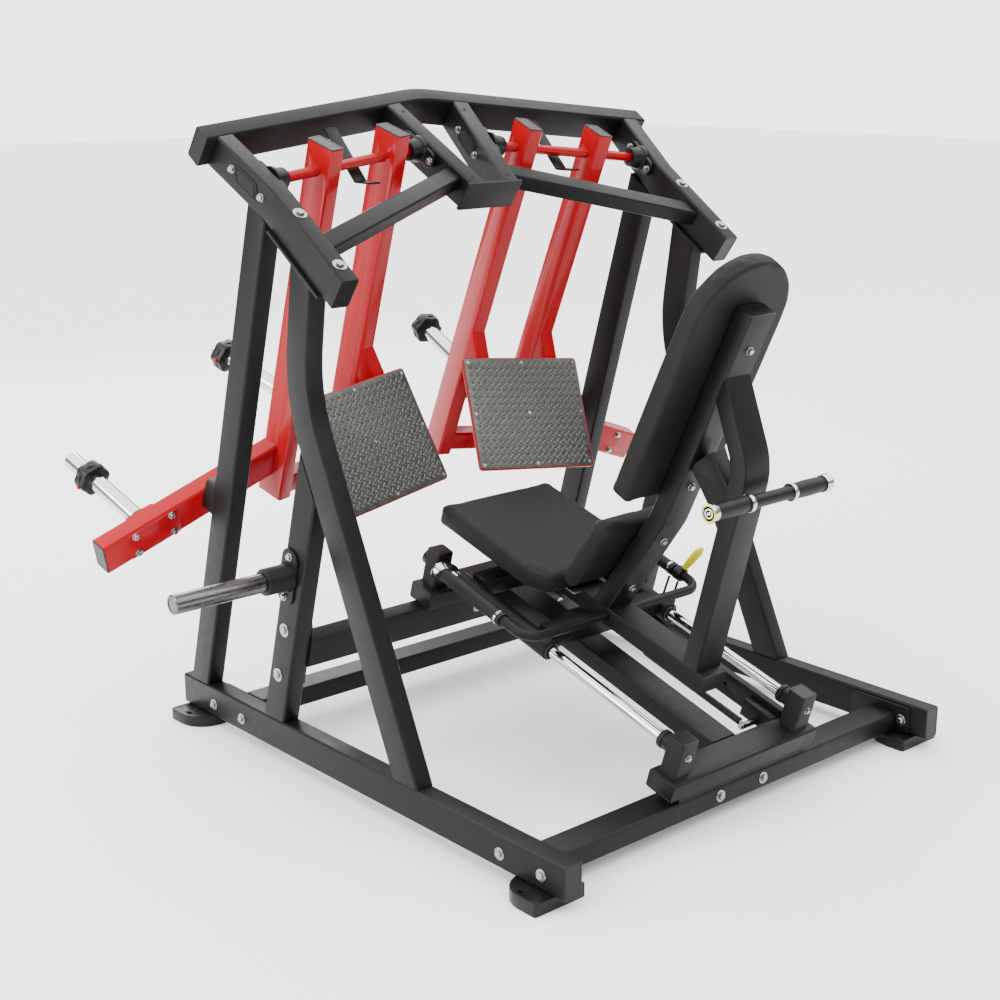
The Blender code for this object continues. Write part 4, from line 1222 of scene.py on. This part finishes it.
@dataclass
class Carriage:
    """The sliding seat: its frame, handles, lever and lock."""

    layout: Layout
    shop: Workshop
    handle_x: float = 0.351
    handle_up: float = 0.132
    tube_radius: float = 0.0145

    def build(self) -> None:
        """Makes every piece of the carriage but the pads."""
        for node in ("carriage_frame", "seat_back_frame"):
            self.shop.skinned(node, f"painted_{node}", BLACK, Body.CARRIAGE, 0.0016)
        self.caps_and_bolts()
        self.seals()
        for side in Side:
            self.side_handle(side)
        self.handlebar()
        self.lever()
        self.lock()
        self.brackets()

    def caps_and_bolts(self) -> None:
        """Caps on the seat beam and the post, and the post's bolts."""
        track = self.layout.track
        bend = self.layout.floor_point(0, 0.3955, 0.7705)
        up = leaning(math.radians(25.0))
        low = leaning(math.radians(35.3))
        back = np.cross(X, up)
        back = back if back[1] < 0 else -back
        low_back = np.cross(X, low)
        low_back = low_back if low_back[1] < 0 else -low_back
        beam = EndCap(0.096, 0.055).mesh(track.at(0, 0.184, 0.1295), -track.second, X)
        post = EndCap(0.100, 0.058).mesh(bend + 0.662 * up, up, X)
        self.shop.piece("carriage_caps", together(beam, post), PLASTIC, Body.CARRIAGE)
        places = [(bend + s * up + 0.029 * back, back) for s in (0.560, 0.125)]
        places += [(bend - s * low + 0.029 * low_back, low_back) for s in (0.070, 0.270)]
        self.shop.piece("post_bolts", PLATE_BOLT.row(places), ZINC, Body.CARRIAGE)

    def seals(self) -> None:
        """Rubber seals with a metal lip at both ends of each rod housing."""
        track = self.layout.track
        rubber = []
        lips = []
        for sign in (-1, 1):
            for along, way in ((0.566, -1), (0.969, 1)):
                base = facing(track.at(sign * 0.243, along, 0.065), way * track.second)
                rubber.append(lathe(base, [(-0.002, 0.0275), (0.0015, 0.0275), (0.003, 0.0262),
                                           (0.003, 0.0240), (0.0012, 0.0230), (0.0012, 0.0205),
                                           (0.003, 0.0190), (0.0035, 0.0175), (0.002, 0.0163)], 48))
                lips.append(lathe(base, [(0.0, 0.0242), (0.0024, 0.0242), (0.0030, 0.0236),
                                         (0.0024, 0.0229), (0.0, 0.0229)], 48))
        self.shop.piece("housing_seals", together(*rubber), GRIP, Body.CARRIAGE)
        self.shop.piece("housing_seal_lips", together(*lips), ZINC, Body.CARRIAGE)

    def grip(self, axes: Axes, length: float, radius: float) -> Mesh:
        """A moulded grip: slightly swollen, with rolled rims.

        Its radius is the mean radius plus a half sine along the length.
        """
        s = np.linspace(0, 1, 25)
        swell = radius - 0.0012 + 0.0014 * np.sin(np.pi * s)
        body = list(zip(0.004 + s * (length - 0.008), swell))
        rim = [(0.0, radius - 0.003), (0.001, radius + 0.0008), (0.0035, radius + 0.0010)]
        far = [(length - h, r) for h, r in rim[::-1]]
        return lathe(axes, rim + body + far, 48)

    def side_handle(self, side: Side) -> None:
        """A bent tube with a rubber grip, chrome ring and flared chrome tip."""
        track = self.layout.track
        up = self.handle_up
        corners = [track.at(0.046, 0.564, up), track.at(self.handle_x, 0.564, up),
                   track.at(self.handle_x, 0.950, up)]
        path = round_corners(corners, [0, 0.055, 0], 14)
        tube = sweep(circle(self.tube_radius, 32), path, track.third)
        label = side.label
        self.shop.piece(f"handle_tube_{label}", mirrored(tube, side), BLACK, Body.CARRIAGE,
                        [f"side_handle_{label}"])
        base = facing(track.at(self.handle_x, 0.692, up), track.second)
        self.shop.piece(f"handle_grip_{label}", mirrored(self.grip(base, 0.244, 0.0196), side),
                        GRIP, Body.CARRIAGE)
        ring = lathe(base.moved(0, 0, -0.008), [(0, 0.0150), (0, 0.0204), (0.001, 0.0212),
                                                (0.007, 0.0212), (0.008, 0.0204), (0.008, 0.015)],
                     48)
        tip = lathe(base.moved(0, 0, 0.243), [(0, 0.0175), (0, 0.0200), (0.004, 0.0206),
                                              (0.014, 0.0228), (0.022, 0.0254), (0.026, 0.0260),
                                              (0.0285, 0.0246), (0.0285, 0.0170), (0.0265, 0.0160),
                                              (0.0265, 0.0040)], 48)
        self.shop.piece(f"handle_trim_{label}", mirrored(together(ring, tip), side), CHROME,
                        Body.CARRIAGE)
        hoop = lathe(base.moved(0, 0, -0.022), [(0, 0.0146), (0, 0.0196), (0.002, 0.0206),
                                                (0.012, 0.0206), (0.014, 0.0196), (0.014, 0.0146)],
                     40)
        self.shop.piece(f"handle_collar_{label}", mirrored(hoop, side), PLASTIC, Body.CARRIAGE)

    def handlebar(self) -> None:
        """The bar across the strut, with grips, chrome rings and flared chrome ends."""
        low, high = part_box("handlebar")
        centre = np.array([0.0, (low.y + high.y) / 2, (low.z + high.z) / 2])
        middle = facing(centre, X, Z)
        bar = lathe(middle, [(-0.205, 0.0180), (0.205, 0.0180)], 40)
        self.shop.piece("handlebar_tube", bar, BLACK, Body.CARRIAGE, ["handlebar"])
        grips = []
        trim = []
        for sign in (-1, 1):
            out = facing(centre, sign * X, Z)
            grips.append(self.grip(out.moved(0, 0, 0.092), 0.122, 0.0222))
            trim.append(lathe(out, [(0.078, 0.018), (0.078, 0.0235), (0.080, 0.0245),
                                    (0.089, 0.0245), (0.091, 0.0235), (0.091, 0.018)], 48))
            trim.append(lathe(out, [(0.213, 0.0185), (0.213, 0.0222), (0.217, 0.0226),
                                    (0.224, 0.0246), (0.229, 0.0252), (0.2345, 0.0252),
                                    (0.236, 0.0238), (0.236, 0.0190), (0.2345, 0.0182),
                                    (0.2345, 0.0140), (0.236, 0.0130), (0.236, 0.0095),
                                    (0.2345, 0.0088), (0.2345, 0.0050), (0.236, 0.0040),
                                    (0.236, 0.0010)], 48))
        self.shop.piece("handlebar_grips", together(*grips), GRIP, Body.CARRIAGE)
        self.shop.piece("handlebar_trim", together(*trim), CHROME, Body.CARRIAGE)
        left = facing(centre, -X, Z)
        ring = lathe(left, [(0.2350, 0.0188), (0.2366, 0.0190), (0.2374, 0.0213), (0.2366, 0.0236),
                            (0.2350, 0.0238)], 48)
        self.shop.piece("handlebar_ring", ring, YELLOW, Body.CARRIAGE)

    def lever(self) -> None:
        """The release lever: a black collar that turns on the right handle, and a yellow grip."""
        track = self.layout.track
        pivot = track.at(self.handle_x, 0.648, self.handle_up)
        base = facing(pivot - 0.014 * track.second, track.second)
        collar = lathe(base, [(0, 0.0150), (0, 0.0212), (0.002, 0.0224), (0.026, 0.0224),
                              (0.028, 0.0212), (0.028, 0.0150)], 48)
        up = unit(track.at(self.handle_x, 0.588, 0.262) - pivot)
        stem = facing(pivot, up, X)
        neck = lathe(stem, [(0.017, 0.0090), (0.030, 0.0062), (0.044, 0.0058)], 32)
        self.shop.piece("lever_collar", together(collar, neck), PLASTIC, Body.LEVER,
                        ["release_lever"])
        s = np.linspace(0, 1, 24)
        width = 0.0115 + 0.0040 * np.sin(np.pi * np.clip(s * 0.9, 0, 1)) - 0.0080 * s**14
        ring = circle(1.0, 40) * np.array([1.0, 0.80])
        flat = width[:, None, None] * ring[None]
        height = np.broadcast_to((0.032 + s * 0.100)[:, None, None], (len(s), 40, 1))
        local = np.concatenate([flat, height], -1)
        grip = skin(stem.place(local.reshape(-1, 3)).reshape(local.shape))
        self.shop.piece("lever_grip", grip, YELLOW, Body.LEVER)

    def lock(self) -> None:
        """The lock pin with its knob, and the link rods that reach down to it."""
        track = self.layout.track
        base = facing(track.at(0.232, 0.630, -0.020), X)
        pin = lathe(base, [(0, 0.003), (0.003, 0.006), (0.100, 0.006)], 32)
        self.shop.piece("lock_pin_shaft", pin, ZINC, Body.PIN, ["lock_pin"])
        knob = lathe(base.moved(0, 0, 0.098), [(0, 0.0060), (0, 0.0100), (0.002, 0.0118),
                                               (0.016, 0.0120), (0.019, 0.0105), (0.020, 0.0060)],
                     32)
        self.shop.piece("lock_pin_knob", knob, PLASTIC, Body.PIN)
        rods = []
        for along in (0.612, 0.648):
            start = track.at(0.330, along + 0.020, 0.118)
            end = track.at(0.296, along, 0.060)
            rods.append(sweep(circle(0.0038, 16), np.stack([start, end]),
                              unit(np.cross(end - start, track.second))))
        self.shop.piece("link_rods", together(*rods), BLACK, Body.CARRIAGE)

    def brackets(self) -> None:
        """Steel brackets under the seat, slotted on the real machine but drawn as plain plates."""
        track = self.layout.track
        plates = []
        for sign in (-1, 1):
            axes = Axes(track.at(sign * 0.075, 0.715, 0.1572), X, track.second, track.third)
            plates.append(slab(axes, rounded_box(0.030, 0.110, 0.006), 0.004))
        self.shop.piece("seat_brackets", together(*plates), ZINC, Body.CARRIAGE)


# ---- Pads ------------------------------------------------------------------------------


@dataclass
class Pad:
    """One stuffed pad: a cover blown up from a slab."""

    shop: Workshop
    name: str
    node: str
    face: Axes
    outline: Array
    low: float
    high: float
    voxel: float = 0.005
    cap: float = 0.0060
    start_inset: float = 0.0015
    corner: float = 0.009
    fill: float = 0.85
    frames: int = 20

    def build(self) -> None:
        """Makes the stuffed cover."""
        start = self.block()
        data = self.cover(start)
        obj = self.shop.finish_object(self.name, data, HIDE, Body.CARRIAGE, [self.node], 80.0)

    def block(self) -> Mesh:
        """The pad before it is stuffed: a slab with well-rounded edges, a little small."""
        rings = inset(self.outline, np.array([self.start_inset]))[0]
        base = self.face.moved(0, 0, self.low)
        return slab(base, rings, self.high - self.low - 0.003, self.corner)

    def cover(self, start: Mesh) -> bpy.types.Mesh:
        """Remeshes the block, blows it up as cloth under pressure and caps how far it moves.

        A point moves with the cloth up to the cap, and never below the board behind the pad.
        """
        work = bpy.data.meshes.new(self.name + "_work")
        work.from_pydata(start[0].tolist(), [], start[1])
        self.shop.tidy(work)
        obj = bpy.data.objects.new(self.name + "_work", work)
        bpy.context.scene.collection.objects.link(obj)
        remesh = obj.modifiers.new("even", "REMESH")
        remesh.mode = "VOXEL"
        remesh.voxel_size = self.voxel
        remesh.use_smooth_shade = True
        work = self.applied(obj)
        rest = self.points_of(work)
        work = self.inflate(obj)
        blown = self.points_of(work)
        move = blown - rest
        size = np.linalg.norm(move, axis=1)
        move *= np.minimum(1.0, self.cap / np.maximum(size, 1e-9))[:, None]
        points = rest + move
        height = (points - self.face.origin) @ self.face.third
        short = np.maximum(self.low - height, 0) - np.maximum(height - self.high - 0.004, 0)
        points += short[:, None] * self.face.third
        work.vertices.foreach_set("co", points.ravel())
        work.update()
        smooth = obj.modifiers.new("relax", "SMOOTH")
        smooth.factor = 0.5
        smooth.iterations = 2
        obj.modifiers.new("round", "SUBSURF")
        final = self.applied(obj)
        bpy.data.objects.remove(obj)
        return final

    @staticmethod
    def points_of(data: bpy.types.Mesh) -> Array:
        """A mesh's points (n, 3)."""
        flat = np.empty(len(data.vertices) * 3, np.float32)
        data.vertices.foreach_get("co", flat)
        return flat.reshape(-1, 3).astype(float)

    @staticmethod
    def applied(obj: bpy.types.Object) -> bpy.types.Mesh:
        """The object's mesh with its modifiers applied, set on the object."""
        graph = bpy.context.evaluated_depsgraph_get()
        data = bpy.data.meshes.new_from_object(obj.evaluated_get(graph))
        obj.modifiers.clear()
        obj.data = data
        return data

    def inflate(self, obj: bpy.types.Object) -> bpy.types.Mesh:
        """Runs the cloth for twenty frames under inner pressure, without gravity."""
        cloth = obj.modifiers.new("cloth", "CLOTH")
        cloth.settings.use_pressure = True
        cloth.settings.uniform_pressure_force = 4.0
        cloth.settings.effector_weights.gravity = 0.0
        cloth.settings.quality = 5
        cloth.collision_settings.use_collision = False
        scene = bpy.context.scene
        for frame in range(1, self.frames + 1):
            scene.frame_set(frame)
        data = self.applied(obj)
        scene.frame_set(1)
        return data


@dataclass
class Upholstery:
    """The seat, lumbar and backrest pads."""

    layout: Layout
    shop: Workshop
    back_lean: float = math.radians(25.0)
    lumbar_lean: float = math.radians(35.3)

    def build(self) -> None:
        """Makes the three pads."""
        self.seat().build()
        self.lumbar().build()
        self.backrest().build()

    @staticmethod
    def leaned(origin: Array, lean: float) -> Axes:
        """Axes of a leaning face: across, up it, and out of it towards the user."""
        up = leaning(lean)
        return Axes(origin, X, up, np.array([0.0, math.cos(lean), math.sin(lean)]))

    def seat(self) -> Pad:
        """The seat: square in front, narrower where it meets the lumbar pad."""
        outline = round_corners(
            [(-0.182, 0.672), (0.182, 0.672), (0.225, 0.740), (0.225, 1.148), (-0.225, 1.148),
             (-0.225, 0.740)], [0.030, 0.030, 0.050, 0.024, 0.024, 0.050], 8, closed=True)
        return Pad(self.shop, "seat_pad_cover", "seat_cushion", self.layout.track, outline,
                   0.1685, 0.2286)

    def lumbar(self) -> Pad:
        """The short pad behind the hips."""
        face = self.leaned(self.layout.floor_point(0, 0.6066, 0.5325), self.lumbar_lean)
        outline = round_corners([(-0.180, 0.012), (0.180, 0.012), (0.180, 0.262), (-0.180, 0.262)],
                                [0.014, 0.014, 0.030, 0.030], 8, closed=True)
        return Pad(self.shop, "lumbar_pad_cover", "lumbar_pad", face, outline, 0.0025, 0.0625,
                   corner=0.020)

    def backrest(self) -> Pad:
        """The long pad with a half-round top."""
        face = self.leaned(self.layout.floor_point(0, 0.3955, 0.7705), self.back_lean)
        face = face.moved(0, 0, 0.0293)
        half = 0.183
        outline = round_corners([(-half, 0.052), (half, 0.052), (half, 0.790), (-half, 0.790)],
                                [0.030, 0.030, half * 0.985, half * 0.985], 16, closed=True)
        return Pad(self.shop, "backrest_pad_cover", "backrest_pad", face, outline, 0.001, 0.064)


# ---- Studio ----------------------------------------------------------------------------


@dataclass(frozen=True)
class Studio:
    """The pale floor, the soft lights and the camera."""

    camera_height: float = 2.020
    lens: float = 60.5
    turn: float = -41.59
    tilt: float = 15.16

    def build(self, layout: Layout) -> None:
        """Sets the camera, the floor, the sky and the lamps."""
        self.camera(layout)
        self.floor()
        self.sky()
        self.overhead()
        self.lamp("left_light", (-5.5, 1.5, 2.6), 3.5, 330.0)
        self.lamp("back_light", (1.5, 5.5, 3.8), 3.5, 250.0)

    def camera(self, layout: Layout) -> None:
        """A camera on its stand by the seat's left rear corner."""
        data = bpy.data.cameras.new("camera")
        data.lens = self.lens
        data.sensor_width = 36.0
        obj = bpy.data.objects.new("camera", data)
        obj.location = (-3.291, layout.seat_end - 2.616, self.camera_height)
        obj.rotation_euler = (math.radians(90 - self.tilt), 0.0, math.radians(self.turn))
        bpy.context.scene.collection.objects.link(obj)
        bpy.context.scene.camera = obj

    def floor(self) -> None:
        """A wide matt floor."""
        data = bpy.data.meshes.new("studio_floor")
        half = 30.0
        data.from_pydata([(-half, -half, 0), (half, -half, 0), (half, half, 0), (-half, half, 0)],
                         [], [(0, 1, 2, 3)])
        obj = bpy.data.objects.new("studio_floor", data)
        bpy.context.scene.collection.objects.link(obj)
        graph = Graph("pale_floor")
        tone = graph.blend(graph.noise(3.0), (0.86, 0.86, 0.86), (0.88, 0.88, 0.88))
        data.materials.append(graph.surface(Base_Color=tone, Roughness=0.9))

    def sky(self) -> None:
        """An even white surround."""
        world = bpy.data.worlds.new("studio")
        world.use_nodes = True
        tree = world.node_tree
        back = tree.nodes["Background"]
        back.inputs["Color"].default_value = (1.0, 1.0, 1.0, 1.0)
        seen = tree.nodes.new("ShaderNodeLightPath").outputs["Is Camera Ray"]
        strength = tree.nodes.new("ShaderNodeMapRange")
        strength.inputs["To Min"].default_value = 0.5
        strength.inputs["To Max"].default_value = 3.6
        tree.links.new(seen, strength.inputs["Value"])
        tree.links.new(strength.outputs["Result"], back.inputs["Strength"])
        bpy.context.scene.world = world

    def overhead(self) -> None:
        """Very soft light from straight above, even over the whole floor."""
        data = bpy.data.lights.new("overhead_light", "SUN")
        data.energy = 9.0
        data.angle = 2.2
        obj = bpy.data.objects.new("overhead_light", data)
        obj.location = (0.0, 0.0, 6.0)
        bpy.context.scene.collection.objects.link(obj)

    def lamp(self, name: str, where: tuple[float, float, float], size: float,
             power: float) -> None:
        """A large square lamp that points at the machine's middle."""
        data = bpy.data.lights.new(name, "AREA")
        data.size = size
        data.energy = power
        obj = bpy.data.objects.new(name, data)
        obj.location = where
        way = np.array([0.0, 0.0, 0.8]) - np.array(where)
        yaw = math.atan2(-way[0], way[1])
        pitch = math.atan2(math.hypot(way[0], way[1]), -way[2])
        obj.rotation_euler = (pitch, 0.0, yaw)
        bpy.context.scene.collection.objects.link(obj)


def main() -> None:
    """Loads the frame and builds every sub-assembly."""
    logging.basicConfig(level=logging.INFO, format="%(message)s")
    for obj in list(bpy.data.objects):
        bpy.data.objects.remove(obj)
    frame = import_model()
    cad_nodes.update(frame["nodes"])
    layout = Layout.read(frame["record"])
    shop = Workshop()
    Studio().build(layout)
    SideFrames(layout, shop).build()
    TopFrame(layout, shop).build()
    for side in Side:
        PressArm(layout, shop, side).build()
    SeatTrack(layout, shop).build()
    Carriage(layout, shop).build()
    Upholstery(layout, shop).build()
    LOG.info("%d pieces made", shop.made)


if __name__ == "__main__":
    main()
